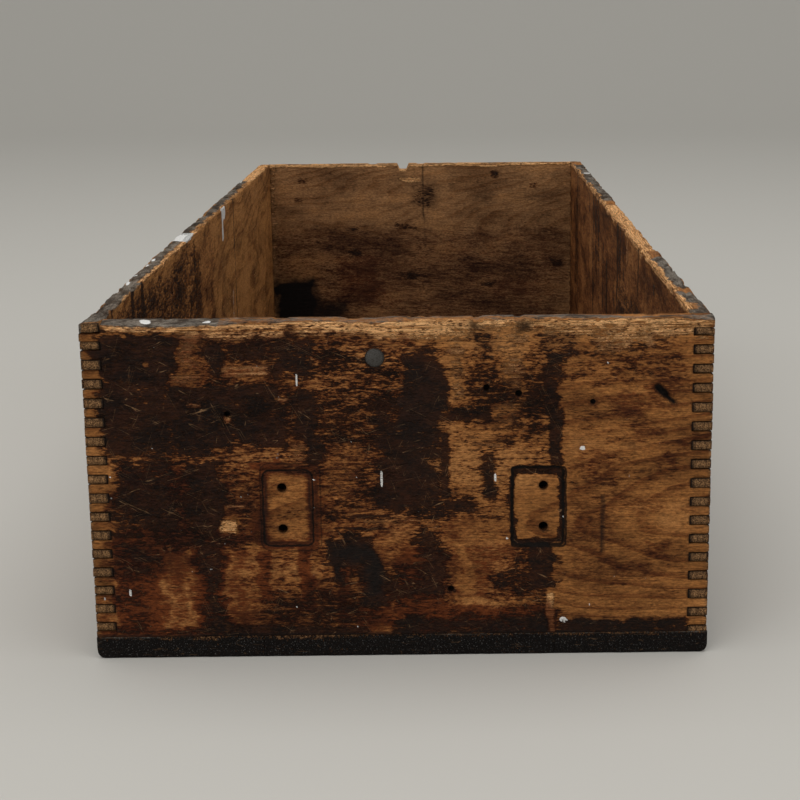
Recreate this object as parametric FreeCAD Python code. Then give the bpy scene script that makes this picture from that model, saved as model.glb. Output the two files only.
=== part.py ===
"""A finger-jointed wooden crate: four thin wall boards, a floor of four long boards, and its nails.

Frame: +X to the right when facing the front end, +Y from the front end to the back end, +Z up.
The origin is the middle of the underside. All sizes are in millimetres.
"""

import FreeCAD, Part
import math
import os

# ---- Overall sizes -------------------------------------------------------------------------
crate_width = 304.8  # outside, across the end panels (12 in)
crate_length = 812.8  # outside, along the side panels (32 in)
wall_height = 160.3  # height of all four wall boards (6 5/16 in)
wall_thickness = 10.3  # planed boards, the same all round
floor_thickness = 11.1  # 7/16 in

# ---- Finger joints: every board is cut alike, with a finger at the rim on its right-hand end
# ---- and a socket at the rim on its left-hand end, seen from outside the crate ---------------
finger_height = 4.7625  # 3/16 in cutter; the fingers are counted down from the rim
finger_gap = 0.12  # seam between a finger and its neighbours above and below; the shoulders touch

# ---- Floor boards, from left to right; the last board is ripped to fill what is left --------
floor_board_widths = (83.2, 77.2, 66.4)
floor_board_gap = 0.6  # the boards have shrunk apart a little
floor_edge_radius = 4.5  # worn round the long lower edges of the two outer boards

# ---- Lost handles: two screwed plates on each end left a shallow print and two holes each ---
front_handle_centre_x = 6.2  # the front handle stood to the right of the middle
back_handle_centre_x = 0.0
handle_centre_z = 77.2  # above the underside
handle_plate_spacing = 122.4  # between the middles of the two plates
handle_plate_width = 24.4
handle_plate_height = 38.8
handle_plate_radius = 3.6
handle_plate_depth = 0.5
handle_hole_outset = 2.75  # the holes are this far outboard of the plate's middle
handle_hole_rise = 20.9  # between the two holes of one plate
handle_hole_radius = 2.3
handle_hole_depth = 8.0  # blind, from the face of the panel

# ---- Broad-headed steel nail near the rim of the front panel --------------------------------
broad_nail_x = -11.2
broad_nail_below_rim = 19.3
broad_nail_head_radius = 4.6
broad_nail_head_thickness = 1.4
broad_nail_sink = 0.2  # the head is driven this far below the face
broad_nail_shank_radius = 1.6
broad_nail_length = 8.6  # under the head; the point stops inside the board

# ---- Notch broken out of the back panel's rim -----------------------------------------------
rim_notch_x = -16.6
rim_notch_width = 11.0
rim_notch_depth = 6.0

# ---- Floor nails, driven up through the floor into the walls --------------------------------
floor_nail_length = 34.0  # under the head
floor_nail_shank_radius = 1.1
floor_nail_head_radius = 2.6
floor_nail_head_thickness = 1.0
floor_nail_sink = 0.4  # the heads lie this far inside the floor's underside
floor_nail_board_inset = 17.0  # from a board's edge to its nails, at the ends
side_nail_end_inset = 62.0  # from the end of the crate to the first nail along a side
side_nail_count = 7

nail_point_length = 2.2  # length of every nail's tapered point
nail_clearance = 0.03  # between a nail and its hole, all round

# ---- Values that follow ---------------------------------------------------------------------
finger_count = math.ceil(wall_height / finger_height - 0.15)  # a thin sliver joins the last finger
rim_z = floor_thickness + wall_height
half_width = crate_width / 2
half_length = crate_length / 2
inner_half_width = half_width - wall_thickness
inner_half_length = half_length - wall_thickness
broad_nail_z = rim_z - broad_nail_below_rim

X_AXIS = FreeCAD.Vector(1, 0, 0)
Y_AXIS = FreeCAD.Vector(0, 1, 0)
Z_AXIS = FreeCAD.Vector(0, 0, 1)


def box(low, high):
    """A block between two opposite corners, each given as (x, y, z)."""
    size = [b - a for a, b in zip(low, high)]
    return Part.makeBox(*size, FreeCAD.Vector(*low))


def finger_cell(index):
    """The lowest and highest z of a finger cell, counted down from the rim. The last reaches the floor."""
    high = rim_z - index * finger_height
    low = high - finger_height if index < finger_count - 1 else floor_thickness
    return low, high


def socket_span(index):
    """A cell's z span with the seam added on both faces, left open at the board's own edges."""
    low, high = finger_cell(index)
    low -= finger_gap if index < finger_count - 1 else 1.0
    high += finger_gap if index > 0 else 1.0
    return low, high


def sockets(at_right_end):
    """The z spans cut out of a board's right-hand or left-hand end, seen from outside."""
    first = 1 if at_right_end else 0
    return [socket_span(index) for index in range(first, finger_count, 2)]


def nail_solid(head_centre, direction, head_radius, head_thickness, shank_radius, length):
    """A round nail: a flat head, a shank and a tapered point. head_centre is the middle of the head's face."""
    head = Part.makeCylinder(head_radius, head_thickness, head_centre, direction)
    under_head = head_centre + direction * head_thickness
    shank = Part.makeCylinder(shank_radius, length - nail_point_length, under_head, direction)
    point_base = under_head + direction * (length - nail_point_length)
    point = Part.makeCone(shank_radius, 0.0, nail_point_length, point_base, direction)
    return head.fuse([shank, point]).removeSplitter().Solids[0]


def nail_hole(head_centre, direction, head_radius, head_thickness, shank_radius, length):
    """The space a nail and its clearance take up, with its mouth carried on past the wood's face."""
    mouth = 1.0
    mouth_start = head_centre - direction * mouth
    head = Part.makeCylinder(head_radius + nail_clearance, mouth + head_thickness, mouth_start, direction)
    shank = Part.makeCylinder(
        shank_radius + nail_clearance, head_thickness + length + nail_clearance, head_centre, direction
    )
    return head.fuse(shank).Solids[0]


class NailRow:
    """Some equal nails and the holes they stand in."""

    def __init__(self, heads, direction, head_radius, head_thickness, shank_radius, length):
        self.heads = heads
        self.sizes = (direction, head_radius, head_thickness, shank_radius, length)

    def nails(self):
        """One solid for each nail."""
        return [nail_solid(head, *self.sizes) for head in self.heads]

    def holes(self):
        """One cutter for each nail."""
        return [nail_hole(head, *self.sizes) for head in self.heads]


def floor_board_spans():
    """The lowest and highest x of each floor board, from left to right."""
    spans = []
    low = -half_width
    for width in floor_board_widths:
        spans.append((low, low + width))
        low += width + floor_board_gap
    spans.append((low, half_width))
    return spans


def floor_nail_row(points):
    """A row of floor nails under the given (x, y) places."""
    heads = [FreeCAD.Vector(x, y, floor_nail_sink) for x, y in points]
    return NailRow(
        heads,
        Z_AXIS,
        floor_nail_head_radius,
        floor_nail_head_thickness,
        floor_nail_shank_radius,
        floor_nail_length,
    )


def end_nail_row(y_side):
    """Two floor nails for each board, in line with the middle of an end panel. y_side is -1 in front."""
    y = y_side * (half_length - wall_thickness / 2)
    points = []
    for low, high in floor_board_spans():
        inset = min(floor_nail_board_inset, (high - low) / 3)
        points += [(low + inset, y), (high - inset, y)]
    return floor_nail_row(points)


def side_nail_row(x_side):
    """Floor nails along the middle of a side panel. x_side is -1 on the left."""
    x = x_side * (half_width - wall_thickness / 2)
    first = -half_length + side_nail_end_inset
    step = -2 * first / (side_nail_count - 1)
    return floor_nail_row([(x, first + i * step) for i in range(side_nail_count)])


def broad_nail_row():
    """The single broad-headed nail in the front panel."""
    head = FreeCAD.Vector(broad_nail_x, -half_length + broad_nail_sink, broad_nail_z)
    return NailRow(
        [head],
        Y_AXIS,
        broad_nail_head_radius,
        broad_nail_head_thickness,
        broad_nail_shank_radius,
        broad_nail_length,
    )


def handle_centre_x(y_side):
    """Where the middle of an end's lost handle stood, along x."""
    return front_handle_centre_x if y_side < 0 else back_handle_centre_x


def handle_plate_print(x_side, y_side):
    """The shallow rounded print that a handle plate left in the outside of an end panel."""
    centre_x = handle_centre_x(y_side) + x_side * handle_plate_spacing / 2
    face_y = y_side * half_length
    low_y, high_y = sorted((face_y + y_side, face_y - y_side * handle_plate_depth))
    block = box(
        (centre_x - handle_plate_width / 2, low_y, handle_centre_z - handle_plate_height / 2),
        (centre_x + handle_plate_width / 2, high_y, handle_centre_z + handle_plate_height / 2),
    )
    upright = [edge for edge in block.Edges if abs(edge.tangentAt(edge.FirstParameter).y) > 0.99]
    return block.makeFillet(handle_plate_radius, upright)


def handle_holes(x_side, y_side):
    """The two blind screw holes of one handle plate."""
    x = handle_centre_x(y_side) + x_side * (handle_plate_spacing / 2 + handle_hole_outset)
    face_y = y_side * half_length
    return [
        Part.makeCylinder(
            handle_hole_radius,
            handle_hole_depth + 1.0,
            FreeCAD.Vector(x, face_y + y_side, handle_centre_z + rise),
            Y_AXIS * -y_side,
        )
        for rise in (-handle_hole_rise / 2, handle_hole_rise / 2)
    ]


def rim_notch():
    """A wedge across the back panel's top edge, point down."""
    points = [
        FreeCAD.Vector(rim_notch_x - rim_notch_width / 2, half_length + 1, rim_z),
        FreeCAD.Vector(rim_notch_x, half_length + 1, rim_z - rim_notch_depth),
        FreeCAD.Vector(rim_notch_x + rim_notch_width / 2, half_length + 1, rim_z),
        FreeCAD.Vector(rim_notch_x, half_length + 1, rim_z + rim_notch_depth),
    ]
    outline = Part.makePolygon(points + points[:1])
    return Part.Face(outline).extrude(Y_AXIS * -(wall_thickness + 2))


def end_panel(y_side, nail_rows, extra_cuts=()):
    """The front (y_side -1) or back (+1) board, with its fingers at both ends and the handle's marks."""
    low_y, high_y = sorted((y_side * inner_half_length, y_side * half_length))
    board = box((-half_width, low_y, floor_thickness), (half_width, high_y, rim_z))
    cuts = list(extra_cuts)
    for low, high in sockets(at_right_end=y_side < 0):
        cuts.append(box((inner_half_width, low_y - 1, low), (half_width + 1, high_y + 1, high)))
    for low, high in sockets(at_right_end=y_side > 0):
        cuts.append(box((-half_width - 1, low_y - 1, low), (-inner_half_width, high_y + 1, high)))
    for x_side in (-1, 1):
        cuts.append(handle_plate_print(x_side, y_side))
        cuts += handle_holes(x_side, y_side)
    for row in nail_rows:
        cuts += row.holes()
    return board.cut(cuts).Solids[0]


def side_panel(x_side, nail_rows):
    """The left (x_side -1) or right (+1) board, with its fingers at both ends."""
    low_x, high_x = sorted((x_side * inner_half_width, x_side * half_width))
    board = box((low_x, -half_length, floor_thickness), (high_x, half_length, rim_z))
    cuts = []
    for low, high in sockets(at_right_end=x_side > 0):
        cuts.append(box((low_x - 1, inner_half_length, low), (high_x + 1, half_length + 1, high)))
    for low, high in sockets(at_right_end=x_side < 0):
        cuts.append(box((low_x - 1, -half_length - 1, low), (high_x + 1, -inner_half_length, high)))
    for row in nail_rows:
        cuts += row.holes()
    return board.cut(cuts).Solids[0]


def floor_board(span, nail_rows):
    """One long board of the floor. The crate's outer lower edges are worn round."""
    low_x, high_x = span
    board = box((low_x, -half_length, 0), (high_x, half_length, floor_thickness))
    outer = [
        edge
        for edge in board.Edges
        if edge.BoundBox.ZMax < 0.01
        and edge.BoundBox.YLength > crate_length / 2
        and abs(abs(edge.CenterOfMass.x) - half_width) < 0.01
    ]
    if outer:
        radius = min(floor_edge_radius, floor_thickness / 2)
        board = board.makeFillet(radius, outer)
    holes = [hole for row in nail_rows for hole in row.holes()]
    near = [hole for hole in holes if low_x < hole.CenterOfMass.x < high_x]
    return board.cut(near).Solids[0]


def check_solid(name, shape, expected):
    """Stops the build if a node is open, or isn't the number of solids it should be."""
    if not shape.isValid() or len(shape.Solids) != expected:
        raise RuntimeError(f"{name}: valid {shape.isValid()}, {len(shape.Solids)} solids, expected {expected}")


def build():
    """All nodes by name, each with its list of solids."""
    front_nails, back_nails = end_nail_row(-1), end_nail_row(1)
    left_nails, right_nails = side_nail_row(-1), side_nail_row(1)
    floor_rows = [front_nails, back_nails, left_nails, right_nails]
    broad_nail = broad_nail_row()
    nodes = {
        "front_panel": [end_panel(-1, [front_nails, broad_nail])],
        "back_panel": [end_panel(1, [back_nails], [rim_notch()])],
        "left_side_panel": [side_panel(-1, [left_nails])],
        "right_side_panel": [side_panel(1, [right_nails])],
        "broad_head_nail": broad_nail.nails(),
        "front_floor_nails": front_nails.nails(),
        "back_floor_nails": back_nails.nails(),
        "left_floor_nails": left_nails.nails(),
        "right_floor_nails": right_nails.nails(),
    }
    board_names = ("left_outer", "left_inner", "right_inner", "right_outer")
    for board_name, span in zip(board_names, floor_board_spans()):
        nodes[f"floor_board_{board_name}"] = [floor_board(span, floor_rows)]
    return nodes


def main():
    """Writes one STEP file for each node."""
    os.makedirs("parts", exist_ok=True)
    for name, solids in build().items():
        for solid in solids:
            check_solid(name, solid, 1)
        shape = solids[0] if len(solids) == 1 else Part.makeCompound(solids)
        shape.exportStep(f"parts/{name}.step")


main()
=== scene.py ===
"""A worn wooden apple crate: four finger-jointed walls, a floor of four long boards, and its nails.

Every board is a block cut and extruded into its joints, divided into a fine grid, worn by listed
dents and seeded noise, and painted with its layers of old finish as attributes that one wood material reads.
"""

import logging
import math
from collections.abc import Callable
from dataclasses import dataclass, field
from enum import Enum

import bmesh
import bpy
import numpy as np
from mathutils import Matrix, Vector


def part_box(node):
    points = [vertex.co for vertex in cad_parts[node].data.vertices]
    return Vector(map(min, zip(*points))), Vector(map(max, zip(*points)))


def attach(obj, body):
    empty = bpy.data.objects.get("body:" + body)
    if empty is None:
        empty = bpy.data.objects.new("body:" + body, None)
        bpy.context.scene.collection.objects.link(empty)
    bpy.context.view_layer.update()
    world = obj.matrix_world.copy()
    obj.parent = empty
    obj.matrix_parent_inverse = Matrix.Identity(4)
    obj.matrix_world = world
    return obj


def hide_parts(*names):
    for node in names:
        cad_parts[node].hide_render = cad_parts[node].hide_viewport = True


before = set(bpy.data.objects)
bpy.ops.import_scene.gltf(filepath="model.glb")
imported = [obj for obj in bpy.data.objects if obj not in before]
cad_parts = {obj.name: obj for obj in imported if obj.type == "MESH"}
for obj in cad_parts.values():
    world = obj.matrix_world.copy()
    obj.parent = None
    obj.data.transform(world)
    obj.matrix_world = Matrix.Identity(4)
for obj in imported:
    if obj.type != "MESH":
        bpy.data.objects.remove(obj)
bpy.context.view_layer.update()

log = logging.getLogger("crate")
MM = 0.001
MILLIMETRES = (1000.0, 1000.0, 1000.0)  # turns places in metres to millimetres


# ---- Words for choices ---------------------------------------------------------------------


class Axis(Enum):
    """The direction the grain of a board runs in."""

    X = 0
    Y = 1


class Layer(Enum):
    """A layer of old finish or dirt on the wood. Its value is the attribute's name."""

    FILM = "film"  # brittle brown-black paint or tar
    VARNISH = "varnish"  # red-brown translucent varnish
    RAW = "raw"  # wood rubbed or broken down to light fibres
    GREY = "grey"  # grey floor paint
    WHITE = "white"  # spattered white paint
    SOOT = "soot"  # soft black stain soaked into the wood
    END = "endgrain"  # sawn across the grain


class Face(Enum):
    """Which face of a board a patch lies on."""

    OUTSIDE = "outside"
    INSIDE = "inside"
    RIM = "rim"
    END = "end"


# ---- Small tools ---------------------------------------------------------------------------


def smooth(low: float, high: float, value: np.ndarray) -> np.ndarray:
    """A smooth step from 0 at low to 1 at high."""
    t = np.clip((value - low) / (high - low), 0.0, 1.0)
    return t * t * (3.0 - 2.0 * t)


def paint(code: str) -> tuple[float, float, float, float]:
    """A colour for a shader.

    Args:
        code: the sRGB colour as six hexadecimal digits.

    Returns:
        The linear red, green, blue and 1.
    """
    parts = [int(code[i : i + 2], 16) / 255 for i in (0, 2, 4)]
    linear = [c / 12.92 if c <= 0.04045 else ((c + 0.055) / 1.055) ** 2.4 for c in parts]
    return linear[0], linear[1], linear[2], 1.0


@dataclass(frozen=True)
class LatticeNoise:
    """Smooth noise from a seeded lattice, the same on every run."""

    seed: int

    def corner(self, cell: np.ndarray) -> np.ndarray:
        """The fixed random value of each lattice point.

        Args:
            cell: whole numbers, one row of three for each point.

        Returns:
            A value from -1 to 1 for each row.
        """
        h = cell[:, 0] * 73856093 ^ cell[:, 1] * 19349663 ^ cell[:, 2] * 83492791 ^ (self.seed * 2654435761)
        h = (h ^ (h >> 13)) * 1274126177
        h = (h ^ (h >> 16)) * 668265263
        return ((h >> 8) & 0xFFFF) / 32767.5 - 1.0

    def __call__(self, points: np.ndarray, size: tuple[float, float, float]) -> np.ndarray:
        """The noise at each point.

        Args:
            points: places in millimetres, one row each.
            size: the width of a blob along each axis, in millimetres.

        Returns:
            One value from -1 to 1 for each point.
        """
        p = points / np.array(size)
        base = np.floor(p).astype(np.int64)
        f = p - base
        f = f * f * (3.0 - 2.0 * f)
        total = np.zeros(len(p))
        for i in (0, 1):
            for j in (0, 1):
                for k in (0, 1):
                    weight = (f[:, 0] if i else 1 - f[:, 0]) * (f[:, 1] if j else 1 - f[:, 1])
                    weight = weight * (f[:, 2] if k else 1 - f[:, 2])
                    total += weight * self.corner(base + np.array([i, j, k]))
        return total


@dataclass(frozen=True)
class Patch:
    """One patch of a layer, or a dent, in millimetres on a board's face."""

    u: float
    v: float
    width: float
    height: float
    amount: float = 1.0
    soft: float = 2.5
    turn: float = 0.0
    ring: float = 0.0
    ragged: float = 1.0
    face: Face = Face.OUTSIDE

    def cover(self, u: np.ndarray, v: np.ndarray, warp: tuple[np.ndarray, np.ndarray]) -> np.ndarray:
        """How much the patch covers each point.

        Args:
            u: places along the board.
            v: places up the board.
            warp: two noises that make the outline ragged.

        Returns:
            0 outside the patch to 1 well inside it.
        """
        least = min(self.width, self.height)
        shift = min(4.5, 0.26 * least) * self.ragged
        du = u - self.u + warp[0] * shift
        dv = v - self.v + warp[1] * shift
        c, s = math.cos(math.radians(self.turn)), math.sin(math.radians(self.turn))
        corner = (0.5 * least if least < 6 else 0.35 * least / 2) if self.ring == 0 else 3.0
        qx = np.abs(c * du + s * dv) - self.width / 2 + corner
        qy = np.abs(c * dv - s * du) - self.height / 2 + corner
        edge = np.hypot(np.maximum(qx, 0), np.maximum(qy, 0)) + np.minimum(np.maximum(qx, qy), 0) - corner
        if self.ring:
            edge = np.abs(edge + self.ring / 2) - self.ring / 2
        soft = min(self.soft, 0.42 * least if not self.ring else 0.6)
        return 1.0 - smooth(-soft, soft, edge)


def patches(rows: list[tuple[float, ...]], **shared: object) -> list[Patch]:
    """Patches from rows of (u, v, width, height, amount), with shared further settings."""
    return [Patch(*row, **shared) for row in rows]


def strewn(
    seed: int, count: int, area: tuple[float, float, float, float], size: tuple[float, float],
    stretch: float, amount: tuple[float, float], **shared: object,
) -> list[Patch]:
    """Patches strewn at random over part of a face.

    Args:
        seed: the start of the random order.
        count: how many patches.
        area: the lowest u, highest u, lowest v and highest v.
        size: the least and the most width.
        stretch: height over width.
        amount: the least and the most amount.
        shared: further settings of every patch.

    Returns:
        The patches.
    """
    dice = np.random.default_rng(seed)
    made = []
    for _ in range(count):
        width = dice.uniform(*size)
        height = width * stretch * dice.uniform(0.6, 1.5)
        u, v = dice.uniform(area[0], area[1]), dice.uniform(area[2], area[3])
        made.append(Patch(u, v, width, height, dice.uniform(*amount), turn=dice.uniform(-8, 8), **shared))
    return made


def soften(a: np.ndarray, b: np.ndarray, radius: np.ndarray | float) -> tuple[np.ndarray, np.ndarray]:
    """Rounds the arris where two faces meet.

    Args:
        a: each point's distance inward from the first face.
        b: each point's distance inward from the second face.
        radius: the radius of the worn arris.

    Returns:
        The new distances from both faces.
    """
    r = np.maximum(np.broadcast_to(radius, a.shape), 1e-6)
    x, y = r - a, r - b
    far = np.hypot(x, y)
    hit = (x > 0) & (y > 0) & (far > r)
    scale = np.where(hit, r / np.maximum(far, 1e-9), 1.0)
    return np.where(hit, r - x * scale, a), np.where(hit, r - y * scale, b)


# ---- The modelling bench -------------------------------------------------------------------


class Bench:
    """The operators that every piece is shaped with."""

    @staticmethod
    def clear() -> None:
        """Deselects every object."""
        if bpy.context.object is not None and bpy.context.object.mode != "OBJECT":
            bpy.ops.object.mode_set(mode="OBJECT")
        bpy.ops.object.select_all(action="DESELECT")

    @staticmethod
    def pick(obj: bpy.types.Object) -> None:
        """Makes one object the only selected and active one.

        Args:
            obj: the object.
        """
        Bench.clear()
        obj.select_set(True)
        bpy.context.view_layer.objects.active = obj

    @staticmethod
    def block(name: str, low: Vector, high: Vector) -> bpy.types.Object:
        """A block between two corners, its object at the origin.

        Args:
            name: the object's name.
            low: the lowest corner, in metres.
            high: the highest corner, in metres.

        Returns:
            The block.
        """
        Bench.clear()
        middle, size = (low + high) / 2, high - low
        bpy.ops.mesh.primitive_cube_add(size=1.0, location=middle, scale=size)
        obj = bpy.context.object
        obj.name = obj.data.name = name
        bpy.ops.object.transform_apply(location=True, rotation=True, scale=True)
        return obj

    @staticmethod
    def rod(
        name: str, centre: Vector, radius: float, length: float, normal: Vector, sides: int
    ) -> bpy.types.Object:
        """A cylinder about a centre, its object at the origin.

        Args:
            name: the object's name.
            centre: its middle, in metres.
            radius: its radius, in metres.
            length: its length, in metres.
            normal: the direction it runs in.
            sides: how many sides it has.

        Returns:
            The cylinder.
        """
        Bench.clear()
        turn = normal.to_track_quat("Z", "Y").to_euler()
        bpy.ops.mesh.primitive_cylinder_add(
            vertices=sides, radius=radius, depth=length, location=centre, rotation=turn
        )
        obj = bpy.context.object
        obj.name = obj.data.name = name
        bpy.ops.object.transform_apply(location=True, rotation=True, scale=True)
        return obj

    @staticmethod
    def slice(planes: list[tuple[Vector, Vector]]) -> None:
        """Cuts the mesh being edited.

        Args:
            planes: the cuts, each a point and a normal.
        """
        for point, normal in planes:
            bpy.ops.mesh.select_all(action="SELECT")
            bpy.ops.mesh.bisect(plane_co=point, plane_no=normal)

    @staticmethod
    def choose_faces(obj: bpy.types.Object, wanted: Callable[[Vector, Vector], bool]) -> None:
        """Selects faces of the object being edited.

        Args:
            obj: the object.
            wanted: a test on the middle and the normal of a face.
        """
        bpy.ops.mesh.select_all(action="DESELECT")
        bpy.ops.mesh.select_mode(type="FACE")
        mesh = bmesh.from_edit_mesh(obj.data)
        for f in mesh.faces:
            if wanted(f.calc_center_median(), f.normal):
                f.select_set(True)
        bmesh.update_edit_mesh(obj.data)

    @staticmethod
    def divide_edges(
        obj: bpy.types.Object, axis: int, cuts: int, wanted: Callable[[Vector], bool] = lambda middle: True
    ) -> None:
        """Divides the edges that run along an axis and whose middle is wanted.

        Args:
            obj: the object being edited.
            axis: 0, 1 or 2.
            cuts: the number of cuts in each edge.
            wanted: a test on the middle of an edge.
        """
        bpy.ops.mesh.select_all(action="DESELECT")
        bpy.ops.mesh.select_mode(type="EDGE")
        mesh = bmesh.from_edit_mesh(obj.data)
        for e in mesh.edges:
            a, b = e.verts[0].co, e.verts[1].co
            d = b - a
            if abs(d[axis]) > 0.99 * d.length and wanted((a + b) / 2):
                e.select_set(True)
        mesh.select_flush_mode()
        bmesh.update_edit_mesh(obj.data)
        bpy.ops.mesh.subdivide(number_cuts=cuts)

    @staticmethod
    def finish(obj: bpy.types.Object, kind: str, **settings: object) -> None:
        """Adds a modifier and applies it.

        Args:
            obj: the object.
            kind: the modifier's type.
            settings: the modifier's own properties.
        """
        Bench.pick(obj)
        modifier = obj.modifiers.new(kind.title(), kind)
        for key, value in settings.items():
            setattr(modifier, key, value)
        bpy.ops.object.modifier_apply(modifier=modifier.name)

    @staticmethod
    def join(objs: list[bpy.types.Object]) -> bpy.types.Object:
        """Joins objects.

        Args:
            objs: the objects.

        Returns:
            The first, which now holds them all.
        """
        Bench.clear()
        for obj in objs:
            obj.select_set(True)
        bpy.context.view_layer.objects.active = objs[0]
        if len(objs) > 1:
            bpy.ops.object.join()
        return objs[0]

    @staticmethod
    def shade(obj: bpy.types.Object, degrees: float) -> None:
        """Shades smooth but for edges sharper than an angle in degrees."""
        Bench.pick(obj)
        bpy.ops.object.shade_smooth_by_angle(angle=math.radians(degrees))

    @staticmethod
    def points(obj: bpy.types.Object) -> np.ndarray:
        """Reads the mesh's points.

        Args:
            obj: the object.

        Returns:
            Their places in millimetres, one row each.
        """
        co = np.empty(len(obj.data.vertices) * 3, np.float32)
        obj.data.vertices.foreach_get("co", co)
        return co.reshape(-1, 3).astype(float) / MM

    @staticmethod
    def move(obj: bpy.types.Object, co: np.ndarray) -> None:
        """Puts the mesh's points at new places in millimetres."""
        obj.data.vertices.foreach_set("co", (co * MM).astype(np.float32).ravel())
        obj.data.update()

    @staticmethod
    def store(obj: bpy.types.Object, layer: Layer, values: np.ndarray) -> None:
        """Keeps a layer on the mesh as an attribute of its points."""
        attribute = obj.data.attributes.new(layer.value, "FLOAT", "POINT")
        attribute.data.foreach_set("value", np.clip(values, 0, 1.5).astype(np.float32))


# ---- Finishes ------------------------------------------------------------------------------


class Node(Enum):
    """The nodes that finishes are wired from.

    Each has its type, the output that is read, its inputs in order with their usual values, and its settings.
    """

    PLACE = ("ShaderNodeTexCoord", "Object", {}, {})
    TURN = (
        "ShaderNodeMapping", 0, {"Vector": None, "Rotation": (0.0, 0.0, 0.0), "Scale": (1.0, 1.0, 1.0)},
        {},
    )
    AXES = ("ShaderNodeSeparateXYZ", 0, {0: None}, {})
    STRETCH = ("ShaderNodeVectorMath", 0, {0: None, 1: None}, {"operation": "MULTIPLY"})
    DIM = ("ShaderNodeVectorMath", 0, {0: None, "Scale": None}, {"operation": "SCALE"})
    NOISE = (
        "ShaderNodeTexNoise", 0,
        {"Vector": None, "Detail": 2.0, "Roughness": 0.5, "Distortion": 0.0, "Scale": 1.0}, {},
    )
    LAYER = ("ShaderNodeAttribute", "Fac", {}, {})
    STEP = (
        "ShaderNodeMapRange", 0,
        {"Value": None, "From Min": 0.0, "From Max": 1.0, "To Min": 0.0, "To Max": 1.0},
        {"interpolation_type": "SMOOTHSTEP"},
    )
    ADD = ("ShaderNodeMath", 0, {0: None, 1: None}, {"operation": "ADD"})
    SUBTRACT = ("ShaderNodeMath", 0, {0: None, 1: None}, {"operation": "SUBTRACT"})
    MULTIPLY = ("ShaderNodeMath", 0, {0: None, 1: None}, {"operation": "MULTIPLY"})
    MULTIPLY_ADD = ("ShaderNodeMath", 0, {0: None, 1: None, 2: None}, {"operation": "MULTIPLY_ADD"})
    LIMITED = ("ShaderNodeMath", 0, {0: None, 1: None}, {"operation": "MULTIPLY", "use_clamp": True})
    DIVIDE = ("ShaderNodeMath", 0, {0: None, 1: None}, {"operation": "DIVIDE"})
    MAXIMUM = ("ShaderNodeMath", 0, {0: None, 1: None}, {"operation": "MAXIMUM"})
    MINIMUM = ("ShaderNodeMath", 0, {0: None, 1: None}, {"operation": "MINIMUM"})
    ABSOLUTE = ("ShaderNodeMath", 0, {0: None}, {"operation": "ABSOLUTE"})
    SQRT = ("ShaderNodeMath", 0, {0: None}, {"operation": "SQRT"})
    FRACT = ("ShaderNodeMath", 0, {0: None}, {"operation": "FRACT"})
    MIX = ("ShaderNodeMix", 2, {0: None, 6: None, 7: None}, {"data_type": "RGBA"})
    TINT = ("ShaderNodeMix", 2, {0: None, 6: None, 7: None}, {"data_type": "RGBA", "blend_type": "MULTIPLY"})
    BUMP = ("ShaderNodeBump", 0, {"Height": None, "Distance": 0.001, "Strength": 1.0}, {})
    SURFACE = (
        "ShaderNodeBsdfPrincipled", 0,
        {"Base Color": None, "Roughness": 0.5, "Normal": None, "Metallic": 0.0, "Specular IOR Level": 0.5},
        {},
    )


class Tree:
    """A material's node tree while it is being wired."""

    def __init__(self, name: str) -> None:
        """Starts an empty material.

        Args:
            name: the material's name.
        """
        self.material = bpy.data.materials.new(name)
        self.material.use_nodes = True
        self.tree = self.material.node_tree
        self.tree.nodes.clear()

    def add(self, node: Node, *values: object, **settings: object) -> bpy.types.NodeSocket:
        """Adds a node and links it.

        Args:
            node: which node.
            values: a value or a socket for each of its inputs, in order.
            settings: further settings of its own.

        Returns:
            The output that is read.
        """
        kind, output, inputs, fixed = node.value
        made = self.tree.nodes.new(kind)
        for key, value in (fixed | settings).items():
            setattr(made, key, value)
        given = dict(zip(inputs, values))
        for key, value in (inputs | given).items():
            if isinstance(value, bpy.types.NodeSocket):
                self.tree.links.new(value, made.inputs[key])
            elif value is not None:
                made.inputs[key].default_value = value
        return made.outputs[output]

    def close(self, surface: bpy.types.NodeSocket) -> bpy.types.Material:
        """Ends the tree in its surface.

        Args:
            surface: the shader's output.

        Returns:
            The finished material.
        """
        out = self.tree.nodes.new("ShaderNodeOutputMaterial")
        self.tree.links.new(surface, out.inputs["Surface"])
        return self.material


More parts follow.
